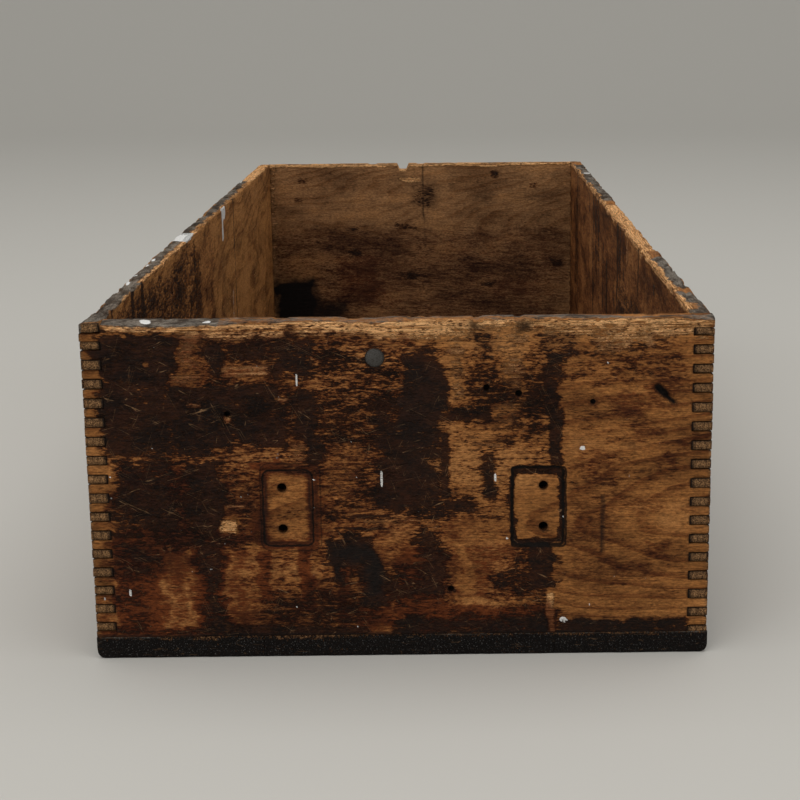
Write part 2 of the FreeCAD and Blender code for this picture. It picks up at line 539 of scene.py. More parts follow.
@dataclass(frozen=True)
class Outline:
    """The thin line of dirt left round the edge of a plate, in millimetres."""

    x: float
    z: float
    width: float
    height: float
    corner: float
    line: float  # half the line's thickness
    dark: float

    def mask(self, tree: Tree, x: object, y: object, z: object, stir: object) -> bpy.types.NodeSocket:
        """How dark the line is.

        Args:
            tree: the material being wired.
            x: the place along the board.
            y: the place through the board, from the middle of the crate.
            z: the height.
            stir: a noise that makes the line waver.

        Returns:
            0 off the line to its darkness on it.
        """
        sides = []
        for value, centre, size in ((x, self.x, self.width), (z, self.z, self.height)):
            away = tree.add(Node.ABSOLUTE, tree.add(Node.SUBTRACT, value, centre))
            sides.append(tree.add(Node.SUBTRACT, away, size / 2 - self.corner))
        out = [tree.add(Node.MAXIMUM, side, 0.0) for side in sides]
        squares = [tree.add(Node.MULTIPLY, side, side) for side in out]
        square = tree.add(Node.ADD, *squares)
        inner = tree.add(Node.MINIMUM, tree.add(Node.MAXIMUM, sides[0], sides[1]), 0.0)
        edge = tree.add(Node.SUBTRACT, tree.add(Node.ADD, tree.add(Node.SQRT, square), inner), self.corner)
        edge = tree.add(Node.ADD, edge, tree.add(Node.MULTIPLY, tree.add(Node.SUBTRACT, stir, 0.5), 1.6))
        line = tree.add(
            Node.STEP, tree.add(Node.ABSOLUTE, edge), 0.5 * self.line, 1.5 * self.line, self.dark, 0.0
        )
        outside = tree.add(Node.STEP, tree.add(Node.ABSOLUTE, y), 402.0, 404.0)
        return tree.add(Node.MULTIPLY, line, outside)


@dataclass(frozen=True)
class OldPine:
    """Old pine board, planed, handled bare for decades, with the remains of its finish."""

    name: str
    grain: Axis
    pith: tuple[float, float] = (60.0, 60.0)  # the heart of the tree: depth and height at the middle
    lean: tuple[float, float] = (-0.16, 0.06)  # how that heart leans along the board
    ring: float = 3.4  # millimetres of growth a year
    early: str = "a06a38"  # pale spring wood, tanned by age
    late: str = "67391a"  # dense summer wood
    bare: str = "f6bd81"  # fibres newly laid open
    grime: float = 0.5  # how much dirt lies in the pores
    sand_and_glint_amount: float = 0.0  # how much sand is pressed into the tar; its pale specks also stand as painted glints of the tar's sheen
    tar: tuple[str, str, str] = ("120703", "2c1407", "40240f")  # the film: thick, thin, and chalked
    shine: float = 0.1  # how much light the worn skin throws back
    outlines: tuple[Outline, ...] = ()

    def material(self) -> bpy.types.Material:
        """The wood material.

        Returns:
            The material, which reads the board's layers from its attributes.
        """
        t = Tree(self.name)
        add = t.add
        turn = -math.pi / 2 if self.grain is Axis.Y else 0.0
        place = add(Node.PLACE)
        p = add(Node.TURN, place, (0.0, 0.0, turn), MILLIMETRES)
        x, y, z = add(Node.AXES, p).node.outputs

        # Growth rings round a leaning heart give long cathedral arches on the wide faces.
        wander = add(Node.NOISE, add(Node.STRETCH, p, (0.006, 0.02, 0.02)), 2.0)
        ripple = add(Node.NOISE, add(Node.STRETCH, p, (0.02, 0.09, 0.09)), 2.0)
        heart_y = add(Node.MULTIPLY_ADD, x, self.lean[0], self.pith[0])
        heart_z = add(Node.MULTIPLY_ADD, x, self.lean[1], self.pith[1])
        off_y = add(Node.SUBTRACT, y, heart_y)
        off_z = add(Node.SUBTRACT, z, heart_z)
        square = add(Node.ADD, add(Node.MULTIPLY, off_y, off_y), add(Node.MULTIPLY, off_z, off_z))
        radius = add(Node.SQRT, square)
        radius = add(Node.ADD, radius, add(Node.MULTIPLY, wander, 26.0))
        radius = add(Node.ADD, radius, add(Node.MULTIPLY, ripple, 4.0))
        year = add(Node.FRACT, add(Node.DIVIDE, radius, self.ring))
        swell, drop = add(Node.STEP, year, 0.45, 0.92), add(Node.STEP, year, 0.93, 1.0, 1.0, 0.0)
        rings = add(Node.MULTIPLY, swell, drop)

        # Fine fibres and pores run with the grain; slow mottling is skin grease and dust.
        fibre = add(Node.NOISE, add(Node.STRETCH, p, (0.035, 1.7, 1.7)), 4.0, 0.7)
        hair = add(Node.NOISE, add(Node.STRETCH, p, (0.12, 5.5, 5.5)), 2.0, 0.6)
        mottle = add(Node.NOISE, add(Node.STRETCH, p, (0.014, 0.035, 0.035)), 5.0, 0.62)
        blotch = add(Node.NOISE, add(Node.STRETCH, p, (0.06, 0.11, 0.11)), 6.0, 0.7)
        fade = add(Node.STEP, mottle, 0.35, 0.65, 0.25, 0.9)
        streak = add(Node.MULTIPLY, add(Node.STEP, fibre, 0.38, 0.66), 0.55)
        grain_tone = add(Node.ADD, add(Node.MULTIPLY, rings, fade), streak)
        wood = add(Node.MIX, add(Node.LIMITED, grain_tone, 0.85), paint(self.early), paint(self.late))
        wood = add(Node.MIX, add(Node.STEP, mottle, 0.32, 0.5, 0.45, 0.0), wood, paint("b07c4a"))
        wood = add(Node.MIX, add(Node.STEP, mottle, 0.44, 0.66, 0.0, self.grime), wood, paint("45260f"))
        wood = add(Node.MIX, add(Node.STEP, blotch, 0.54, 0.7, 0.0, self.grime * 0.8), wood, paint("331c0e"))
        check = add(Node.NOISE, add(Node.STRETCH, p, (0.06, 1.3, 1.3)), 4.0, 0.65, 0.5)
        check = add(Node.ADD, check, add(Node.MULTIPLY, add(Node.SUBTRACT, mottle, 0.5), 0.5))
        wood = add(Node.MIX, add(Node.STEP, check, 0.69, 0.77, 0.0, 0.55), wood, paint("2a160b"))
        pore = add(Node.STEP, hair, 0.6, 0.74)
        wood = add(Node.MIX, add(Node.MULTIPLY, pore, 0.4), wood, paint("2c180d"))

        # Flaking follows the fibres, with a finer crumble at its edge.
        flake = add(Node.NOISE, add(Node.STRETCH, p, (0.11, 0.46, 0.46)), 7.0, 0.72, 0.35)
        crumble = add(Node.NOISE, add(Node.STRETCH, p, (0.35, 1.1, 1.1)), 4.0, 0.7)
        fray = add(Node.ADD, add(Node.MULTIPLY, flake, 0.54), add(Node.MULTIPLY, crumble, 0.46))
        fray = add(Node.ADD, fray, add(Node.MULTIPLY, add(Node.SUBTRACT, mottle, 0.5), 0.3))

        def cover(layer: Layer, gain: float, edge: float, by: object = fray) -> bpy.types.NodeSocket:
            """A layer's cover, its edge broken up by a noise.

            Args:
                layer: the layer.
                gain: how strongly the noise breaks the edge.
                edge: how soft the edge is.
                by: the noise.

            Returns:
                0 where the layer is gone to 1 where it lies.
            """
            broken = add(Node.MULTIPLY, add(Node.SUBTRACT, by, 0.5), gain)
            frayed = add(Node.ADD, add(Node.LAYER, attribute_name=layer.value), broken)
            return add(Node.STEP, frayed, 0.5 - edge, 0.5 + edge)

        # Bare fibres: pale, furry, streaked with the dirt that stays in the hollows.
        raw = cover(Layer.RAW, 3.2, 0.13)
        fur = add(Node.MIX, add(Node.STEP, fibre, 0.4, 0.64), paint(self.bare), paint("9a622f"))
        fur = add(Node.MIX, add(Node.STEP, hair, 0.55, 0.75, 0.0, 0.55), fur, paint("3d2412"))
        fur = add(Node.MIX, add(Node.STEP, crumble, 0.55, 0.64, 0.0, 0.85), fur, paint("2e1909"))
        fur = add(Node.MIX, add(Node.STEP, blotch, 0.56, 0.64, 0.0, 0.6), fur, paint("4a2a12"))
        wood = add(Node.MIX, raw, wood, fur)

        # Sawn ends: thirsty, dark with dirt, pricked with open pores.
        dots = add(Node.NOISE, add(Node.STRETCH, p, (0.05, 2.2, 2.2)), 3.0, 0.7)
        sawn = add(Node.MIX, add(Node.STEP, dots, 0.42, 0.6), paint("a07a54"), paint("170d07"))
        sawn = add(Node.MIX, add(Node.STEP, rings, 0.2, 1.0, 0.0, 0.4), sawn, paint("2c1a0f"))
        end = add(Node.LAYER, attribute_name=Layer.END.value)
        wood = add(Node.MIX, add(Node.LIMITED, end, 0.85), wood, sawn)

        # Varnish: red-brown and clear enough for the grain to show.
        varnish = cover(Layer.VARNISH, 2.2, 0.26)
        deep = add(Node.MIX, add(Node.STEP, mottle, 0.35, 0.7), paint("9a5a20"), paint("642c08"))
        stained = add(Node.MIX, 0.34, add(Node.TINT, 1.0, wood, deep), paint("3f1c09"))
        wood = add(Node.MIX, add(Node.MULTIPLY, varnish, 0.88), wood, stained)

        # Film: brown and clear where it is thin, opaque and brittle where it is thick.
        laid = add(Node.LAYER, attribute_name=Layer.FILM.value)
        amount = add(Node.STEP, laid, 0.0, 0.3, 0.15, 1.0)
        unrest = add(Node.MULTIPLY, amount, add(Node.SUBTRACT, fray, 0.5))
        film_depth = add(Node.ADD, laid, add(Node.MULTIPLY, unrest, 3.9))
        thin = add(Node.STEP, film_depth, 0.12, 0.52)
        wood = add(Node.MIX, add(Node.MULTIPLY, thin, 0.8), wood, add(Node.TINT, 1.0, wood, paint("8c684e")))
        film = add(Node.STEP, film_depth, 0.46, 0.64)
        tar = add(Node.MIX, add(Node.STEP, blotch, 0.4, 0.62), paint(self.tar[0]), paint(self.tar[1]))
        tar = add(Node.MIX, add(Node.STEP, crumble, 0.5, 0.66, 0.0, 0.8), tar, paint(self.tar[2]))
        # Pale specks in the tar: partly sand, partly painted glints of its wet-looking sheen.
        sand_and_glints = add(Node.NOISE, add(Node.STRETCH, p, (1.3, 1.3, 1.3)), 3.0, 0.7)
        tar = add(Node.MIX, add(Node.STEP, sand_and_glints, 0.6, 0.66, 0.0, self.sand_and_glint_amount), tar, paint("7e7d7a"))
        wood = add(Node.MIX, add(Node.MULTIPLY, film, 0.96), wood, tar)
        # Fine scratches that cross each other, each set at its own angle and strength.
        for angle, pale in ((0.3, 0.5), (-0.5, 0.45), (1.25, 0.35), (-1.1, 0.3)):
            turned = add(Node.TURN, p, (0.0, angle, 0.0))
            line = add(Node.NOISE, add(Node.STRETCH, turned, (0.03, 0.03, 0.42)), 1.0, 0.5, 0.15)
            line = add(Node.STEP, add(Node.ABSOLUTE, add(Node.SUBTRACT, line, 0.5)), 0.0, 0.011, 1.0, 0.0)
            patchy = add(Node.NOISE, add(Node.STRETCH, turned, (0.05, 0.1, 0.3)), 2.0, 0.5, 0.0, 1.3)
            held = add(Node.STEP, patchy, 0.58, 0.64)
            worn = add(Node.MULTIPLY, thin, 1.15 * pale * (1.0 - 0.8 * self.sand_and_glint_amount))
            scratch = add(Node.MULTIPLY, add(Node.MULTIPLY, line, held), worn)
            wood = add(Node.MIX, scratch, wood, paint("a07a54"))

        # Soot: a soft stain that sank in.
        sunk = add(Node.LAYER, attribute_name=Layer.SOOT.value)
        soot = add(Node.LIMITED, sunk, add(Node.STEP, mottle, 0.1, 0.5, 0.75, 1.0))
        wood = add(
            Node.MIX, soot, wood,
            add(Node.MIX, add(Node.STEP, fibre, 0.4, 0.7), paint("17110e"), paint("0d0a09")),
        )

        # The dirt lines round lost plates.
        stir = add(Node.NOISE, add(Node.STRETCH, p, (0.22, 0.22, 0.22)), 3.0, 0.6)
        for outline in self.outlines:
            wood = add(Node.MIX, outline.mask(t, x, y, z, stir), wood, paint("0c0704"))

        # Grey paint on the rim, rubbed thin, and white spatter with crisp edges.
        grey = cover(Layer.GREY, 1.7, 0.14)
        slate = add(Node.MIX, add(Node.STEP, blotch, 0.4, 0.6), paint("787167"), paint("37322c"))
        slate = add(Node.MIX, add(Node.STEP, crumble, 0.5, 0.68, 0.0, 0.75), slate, paint("241c16"))
        wood = add(Node.MIX, add(Node.MULTIPLY, grey, 0.93), wood, slate)

        # Every skin but fresh spatter is pricked with pits, dust and bruised fibres.
        speck = add(Node.NOISE, add(Node.STRETCH, p, (0.4, 1.1, 1.1)), 5.0, 0.75)
        bruise = add(Node.MULTIPLY, add(Node.SUBTRACT, hair, 0.5), -0.6)
        tone = add(Node.ADD, add(Node.STEP, speck, 0.3, 0.7, 1.42, 0.54), bruise)
        tone = add(Node.ADD, tone, add(Node.MULTIPLY, raw, 0.22))
        wood = add(Node.DIM, wood, tone)
        white = cover(Layer.WHITE, 0.5, 0.1, crumble)
        wood = add(Node.MIX, white, wood, add(Node.MIX, crumble, paint("f0efec"), paint("c9c6c0")))

        # The touch: raised fibres, deeper where the wood is bare, with the film's flakes over them.
        coarse = add(Node.ADD, 0.5, add(Node.MULTIPLY, raw, 2.0))
        raised = add(Node.ADD, add(Node.MULTIPLY, fibre, 0.8), add(Node.MULTIPLY, hair, 0.35))
        skin = add(Node.MULTIPLY, raised, coarse)
        skin = add(Node.ADD, skin, add(Node.MULTIPLY, rings, 0.12))
        skin = add(Node.ADD, skin, add(Node.MULTIPLY, film, 0.35))
        skin = add(Node.ADD, skin, add(Node.MULTIPLY, crumble, 0.45))
        skin = add(Node.SUBTRACT, skin, add(Node.MULTIPLY, speck, 0.3))
        skin = add(Node.ADD, skin, add(Node.MULTIPLY, sand_and_glints, 1.6 * self.sand_and_glint_amount))
        skin = add(Node.SUBTRACT, skin, add(Node.MULTIPLY, pore, 0.25))
        bump = add(Node.BUMP, skin, 0.0009)
        gloss = add(Node.SUBTRACT, 0.76, add(Node.MULTIPLY, film, 0.22))
        gloss = add(Node.SUBTRACT, gloss, add(Node.MULTIPLY, varnish, 0.12))
        gloss = add(Node.ADD, gloss, add(Node.MULTIPLY, add(Node.SUBTRACT, crumble, 0.5), 0.25))
        return t.close(add(Node.SURFACE, wood, gloss, bump, 0.0, self.shine))


@dataclass(frozen=True)
class RustedSteel:
    """Mild steel, drawn to wire and headed, dulled by weather."""

    name: str
    steel: str = "6c665f"
    rust: str = "4a2c1c"
    rusted: float = 0.5

    def material(self) -> bpy.types.Material:
        """The steel material.

        Returns:
            The material.
        """
        t = Tree(self.name)
        add = t.add
        p = add(Node.STRETCH, add(Node.PLACE), MILLIMETRES)
        bloom = add(Node.NOISE, add(Node.STRETCH, p, (0.6, 0.6, 0.6)), 5.0, 0.65)
        pit = add(Node.NOISE, add(Node.STRETCH, p, (2.4, 2.4, 2.4)), 3.0, 0.6)
        rusty = add(Node.STEP, bloom, 0.72 - 0.4 * self.rusted, 0.86 - 0.4 * self.rusted)
        colour = add(Node.MIX, add(Node.STEP, pit, 0.35, 0.7), paint(self.steel), paint("3b3631"))
        colour = add(Node.MIX, rusty, colour, add(Node.MIX, pit, paint(self.rust), paint("2a1a12")))
        rough = add(Node.ADD, add(Node.MULTIPLY, rusty, 0.3), add(Node.STEP, pit, 0.3, 0.7, 0.38, 0.55))
        metal = add(Node.SUBTRACT, 0.85, add(Node.MULTIPLY, rusty, 0.8))
        bump = add(Node.BUMP, pit, 0.0002, 0.7)
        return t.close(add(Node.SURFACE, colour, rough, bump, metal))


@dataclass(frozen=True)
class PaleFloor:
    """A plain pale studio floor, painted matt."""

    colour: str = "bfbcb5"

    def material(self) -> bpy.types.Material:
        """The floor material."""
        t = Tree("pale_floor_paint")
        return t.close(t.add(Node.SURFACE, paint(self.colour), 0.85))


# ---- Boards --------------------------------------------------------------------------------


@dataclass
class FingerJoint:
    """The machine-cut corner joint, its fingers counted down from the rim."""

    height: float = 4.7625
    count: int = 34
    seam: float = 0.16

    def cell(self, index: int, rim: float, foot: float) -> tuple[float, float]:
        """The lowest and highest level of a finger.

        Args:
            index: its number, counted down from the rim.
            rim: the level of the rim.
            foot: the level of the board's lower edge, where the last finger ends.

        Returns:
            The two levels.
        """
        high = rim - index * self.height
        return (high - self.height if index < self.count - 1 else foot), high

    def owner(self, below_rim: np.ndarray, first: int) -> np.ndarray:
        """The index of the finger each point belongs to, on an end whose fingers start at first."""
        return first + 2 * np.round((below_rim / self.height - 0.5 - first) / 2)


@dataclass
class WallBoard:
    """One wall board: a planed board with fingers at both ends."""

    node: str
    axis: Axis  # the direction the board runs in
    outward: int  # +1 or -1: where its outer face looks, across the run
    even_end: int  # +1 or -1: the end with a finger at the rim
    finish: OldPine
    seed: int
    core_cuts: tuple[int, ...]
    row_cuts: int
    joint: FingerJoint = field(default_factory=FingerJoint)
    thickness: float = 10.3
    depth_cuts: int = 4
    finger_cuts: int = 5
    bevel: float = 0.26
    layers: dict[Layer, list[Patch]] = field(default_factory=dict)
    dents: list[Patch] = field(default_factory=list)
    holes: list[tuple[float, float, float, float]] = field(default_factory=list)  # u, v, radius, depth
    rim_wear: tuple[tuple[float, float, float], ...] = ((0.0, 0.6, 0.6),)  # u, wear outside, wear inside
    rim_dips: tuple[tuple[float, float, float], ...] = ()  # u, width, depth
    torn: float = 0.6  # how deep splinters have torn out of the rim

    def __post_init__(self) -> None:
        """Reads the board's place from the frame."""
        low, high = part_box(self.node)
        self.low, self.high = low / MM, high / MM
        self.run = self.axis.value
        self.across = 1 - self.run
        self.face = self.high[self.across] if self.outward > 0 else self.low[self.across]
        self.noise = LatticeNoise(self.seed)

    def first_finger(self, side: int) -> int:
        """The number of the first finger down from the rim, at the end on that side."""
        return 0 if side == self.even_end else 1

    def build(self) -> bpy.types.Object:
        """Cuts, divides and wears the board.

        Returns:
            The finished board.
        """
        core_low, core_high = self.low.copy(), self.high.copy()
        core_low[self.run] += self.thickness
        core_high[self.run] -= self.thickness
        obj = Bench.block(self.node + "_worn", core_low * MM, core_high * MM)
        rim, foot = self.high.z, self.low.z
        cells = [self.joint.cell(i, rim, foot) for i in range(self.joint.count)]
        bpy.ops.object.mode_set(mode="EDIT")
        Bench.slice([(Vector((0, 0, low * MM)), Vector((0, 0, 1))) for low, _ in cells[:-1]])
        for side in (-1, 1):
            first = self.first_finger(side)
            spans = [cells[i] for i in range(first, self.joint.count, 2)]

            def owned(middle: Vector, normal: Vector) -> bool:
                """Whether a face becomes a finger.

                Args:
                    middle: the middle of the face.
                    normal: where the face looks.

                Returns:
                    True on this end, at the level of one of its fingers.
                """
                if normal[self.run] * side < 0.9:
                    return False
                return any(low < middle.z / MM < high for low, high in spans)

            Bench.choose_faces(obj, owned)
            reach = [0.0, 0.0, 0.0]
            reach[self.run] = side * self.thickness * MM
            bpy.ops.mesh.extrude_region_move(TRANSFORM_OT_translate={"value": reach})
        a, b = core_low[self.run] * MM, core_high[self.run] * MM
        for cuts in self.core_cuts:
            Bench.divide_edges(obj, self.run, cuts, lambda m: a < m[self.run] < b)
        Bench.divide_edges(obj, self.run, self.finger_cuts, lambda m: not a < m[self.run] < b)
        Bench.divide_edges(obj, 2, self.row_cuts)
        Bench.divide_edges(obj, self.across, self.depth_cuts)
        bpy.ops.mesh.select_all(action="SELECT")
        bpy.ops.mesh.normals_make_consistent(inside=False)
        bpy.ops.object.mode_set(mode="OBJECT")
        Bench.finish(
            obj, "BEVEL", width=self.bevel * MM, segments=2, limit_method="ANGLE",
            angle_limit=math.radians(50),
        )
        self.bore(obj)
        self.colour(obj)
        self.wear(obj)
        Bench.shade(obj, 62)
        return obj

    def bore(self, obj: bpy.types.Object) -> None:
        """Bores the board's round holes.

        Args:
            obj: the board.
        """
        if not self.holes:
            return
        normal = Vector((0, 0, 0))
        normal[self.across] = self.outward
        bits = []
        for u, v, radius, depth in self.holes:
            centre = Vector((0, 0, v))
            centre[self.run] = u
            centre[self.across] = self.face + self.outward * (1.0 - depth) / 2
            bits.append(Bench.rod("bit", centre * MM, radius * MM, (depth + 1.0) * MM, normal, 20))
        cutter = Bench.join(bits)
        Bench.finish(obj, "BOOLEAN", object=cutter, operation="DIFFERENCE", solver="EXACT")
        bpy.data.objects.remove(cutter)

    def local(self, co: np.ndarray) -> tuple[np.ndarray, np.ndarray, np.ndarray]:
        """The board's own measures of places.

        Args:
            co: places in millimetres, one row each.

        Returns:
            The distances along the run, up, and inward from the outer face.
        """
        u = co[:, self.run]
        if self.axis is Axis.Y:
            u = u - self.low[self.run]
        return u, co[:, 2], (self.face - co[:, self.across]) * self.outward

    def colour(self, obj: bpy.types.Object) -> None:
        """Lays the board's layers of finish and dirt.

        Args:
            obj: the board.
        """
        co = Bench.points(obj)
        u, v, depth = self.local(co)
        start, end = (u.min(), u.max())
        flat = np.column_stack([u, depth * 3.0, v])
        warp = tuple(
            0.8 * self.noise(flat + at, (19, 30, 13)) + 0.6 * self.noise(flat + at, (7, 30, 5))
            + 0.45 * self.noise(flat + at, (3.4, 30, 2.4)) for at in (0.0, 311.0)
        )
        rim = self.high.z
        on = {
            Face.OUTSIDE: 1.0 - smooth(0.8, 2.6, depth),
            Face.INSIDE: smooth(self.thickness - 1.6, self.thickness - 0.4, depth),
            Face.RIM: smooth(rim - 1.6, rim - 0.3, v),
            Face.END: np.maximum(1.0 - smooth(0.1, 0.5, u - start), 1.0 - smooth(0.1, 0.5, end - u)),
        }
        for layer in Layer:
            total = np.zeros(len(co))
            for patch in self.layers.get(layer, []):
                high = depth if patch.face is Face.RIM else v
                cover = patch.cover(u, high, warp) * on[patch.face]
                if patch.amount >= 0:
                    total = np.maximum(total, cover * patch.amount)
                else:
                    total = total * (1.0 + cover * patch.amount)
            if layer is Layer.SOOT:
                total = np.maximum(total, self.seams(u, v, depth))
                for at, level, radius, _ in self.holes:
                    near = np.hypot(u - at, v - level) < radius + 0.3
                    dirt = np.maximum(total, 0.55 + 0.45 * smooth(0.2, 1.0, depth))
                    total = np.where(near & (depth < 9.5), dirt, total)
            if layer is Layer.END:
                total = np.maximum(total, on[Face.END])
            Bench.store(obj, layer, total)

    def seams(self, u: np.ndarray, v: np.ndarray, depth: np.ndarray) -> np.ndarray:
        """The black lines that dirt has drawn round the sawn end of every finger.

        Args:
            u: places along the board.
            v: places up the board.
            depth: places inward from the outer face.

        Returns:
            How dark each point is.
        """
        dark = np.zeros(len(u))
        below = (self.high.z - v) / self.joint.height
        line = 1.0 - smooth(0.1, 0.4, np.abs(below - np.round(below)) * self.joint.height)
        for near, first in ((u - u.min(), self.first_finger(-1)), (u.max() - u, self.first_finger(1))):
            sawn = 1.0 - smooth(0.2, 0.7, near)
            rest = (near < self.thickness + 0.2) * (1.0 - sawn)
            dark = np.maximum(dark, line * (sawn + 0.3 * rest))
            dark = np.maximum(dark, sawn * smooth(self.thickness - 1.0, self.thickness - 0.3, depth))
            other = np.floor(below - first) % 2 > 0.5
            dark = np.maximum(dark, 0.7 * other * (1.0 - smooth(0.1, 0.7, np.abs(near - self.thickness))))
        return dark

    def wear(self, obj: bpy.types.Object) -> None:
        """Wears the board: rim, arrises, fingers, dents and the waves of old planed wood.

        Args:
            obj: the board.
        """
        co = Bench.points(obj)
        u, v, depth = (part.copy() for part in self.local(co))
        start, end, rim = u.min(), u.max(), self.high.z
        low, high = u - start, end - u

        # Fingers: each ends at its own depth and has shrunk a little in its socket.
        for distance, first, sign in ((low, self.first_finger(-1), 1.0), (high, self.first_finger(1), -1.0)):
            inside = distance < self.thickness - 0.05
            index = self.joint.owner(rim - v, first)
            middle = rim - (index + 0.5) * self.joint.height
            dice = np.column_stack([index * 7.3, np.full_like(index, sign * 5.5), np.zeros_like(index)])
            random = self.noise.corner(np.round(dice * 10).astype(np.int64))
            ease = np.clip(1.0 - distance / self.thickness, 0, 1)
            inset = np.where(inside, (0.28 + 0.28 * random) * ease, 0.0)
            u += sign * inset
            shrink = 1.0 - 2 * self.joint.seam * (1.0 + 0.5 * random) / self.joint.height
            v = np.where(inside & (distance < self.thickness - 0.3), middle + (v - middle) * shrink, v)
            # Each finger's own corners are rubbed round, at its end and on its outer face.
            edge = np.maximum(self.joint.height / 2 - np.abs(v - middle), 0.0)
            reach_end = np.maximum(distance - (0.28 + 0.28 * random), 0.0)
            new_edge, new_reach = soften(edge, reach_end, 0.75 + 0.35 * random)
            finger = inside & (distance < 3.0)
            v = np.where(finger, v + np.sign(middle - v) * (new_edge - edge), v)
            u = np.where(finger, u + sign * (new_reach - reach_end), u)
            edge = np.maximum(self.joint.height / 2 - np.abs(v - middle), 0.0)
            new_edge, new_depth = soften(edge, np.maximum(depth, 0.0), 0.7 + 0.3 * random)
            finger = inside & (depth < 3.0)
            v = np.where(finger, v + np.sign(middle - v) * (new_edge - edge), v)
            depth = np.where(finger, depth + new_depth - np.maximum(depth, 0.0), depth)
            depth = np.where(
                inside, depth + np.clip(random, 0, 1) * 0.22 * (1 - smooth(0.0, 3.0, depth)), depth
            )
        v = np.minimum(v, rim)

        # The rim is worn lower outside or inside, with dips where something knocked it.
        knots = np.array(self.rim_wear)
        outer = np.interp(u, knots[:, 0], knots[:, 1])
        inner = np.interp(u, knots[:, 0], knots[:, 2])
        across = np.clip(depth / self.thickness, 0, 1)
        flat = np.column_stack([u, depth, v * 0.2])
        drop = outer * (1 - across) ** 1.4 + inner * across ** 1.4
        drop = drop * (1.0 + 0.45 * self.noise(flat, (14, 9, 50)))
        drop += 0.12 * (1 + self.noise(flat + 51, (4, 4, 50))) + 0.08 * (
            1 + self.noise(flat + 9, (1.8, 3, 50))
        )
        tear = self.noise(flat + 23, (11, 4.5, 50)) + 0.5 * self.noise(flat + 29, (3.6, 2.4, 50))
        drop += self.torn * smooth(0.25, 0.6, tear)
        for at, width, dip in self.rim_dips:
            drop += dip * (1.0 - smooth(0.55, 1.0, np.abs(u - at) / (width / 2)))
        v = v - drop * smooth(rim - 14.0, rim, v)

        # Arrises.
        flat = np.column_stack([u, depth * 2, v])
        rough = 1.0 + 0.5 * self.noise(flat + 17, (16, 20, 16)) + 0.3 * self.noise(flat + 71, (5, 8, 5))
        top = rim - drop
        edge_v, edge_d = soften(top - v, depth, 1.3 * rough)
        v, depth = top - edge_v, edge_d
        edge_v, edge_d = soften(top - v, self.thickness - depth, 0.9 * rough)
        v, depth = top - edge_v, self.thickness - edge_d
        for sign in (1, -1):
            distance = (u - start) if sign > 0 else (end - u)
            edge_u, edge_d = soften(distance, depth, 1.1 * rough)
            u = start + edge_u if sign > 0 else end - edge_u
            depth = edge_d

        # Dents on the outer face, and the waves and raised grain of old wood, strongest there and fainter
        # inside.
        outside = 1.0 - smooth(0.0, 4.0, depth)
        warp = (self.noise(flat, (8, 30, 6)), self.noise(flat + 211.0, (6, 30, 8)))
        for dent in self.dents:
            depth = depth + dent.amount * dent.cover(u, v, warp) * outside
        wave = 0.10 * self.noise(flat + 5, (40, 40, 24)) + 0.09 * self.noise(flat + 7, (9.0, 5.0, 2.6))
        wave += 0.05 * self.noise(flat + 3, (5.0, 4.0, 1.6))
        depth = depth + (0.2 + wave) * outside
        inside = smooth(self.thickness - 4.0, self.thickness, depth)
        depth = depth - (0.12 + 0.6 * wave) * inside

        new = co.copy()
        new[:, self.run] = u + (self.low[self.run] if self.axis is Axis.Y else 0.0)
        new[:, self.across] = self.face - depth * self.outward
        new[:, 2] = v
        for i in range(3):
            new[:, i] = np.clip(new[:, i], self.low[i], self.high[i])
        Bench.move(obj, new)

    def dress(self, obj: bpy.types.Object) -> None:
        """Gives the board its wood and ties it to the frame.

        Args:
            obj: the board.
        """
        obj.data.materials.clear()
        obj.data.materials.append(self.finish.material())
        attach(obj, "root")
        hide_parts(self.node)


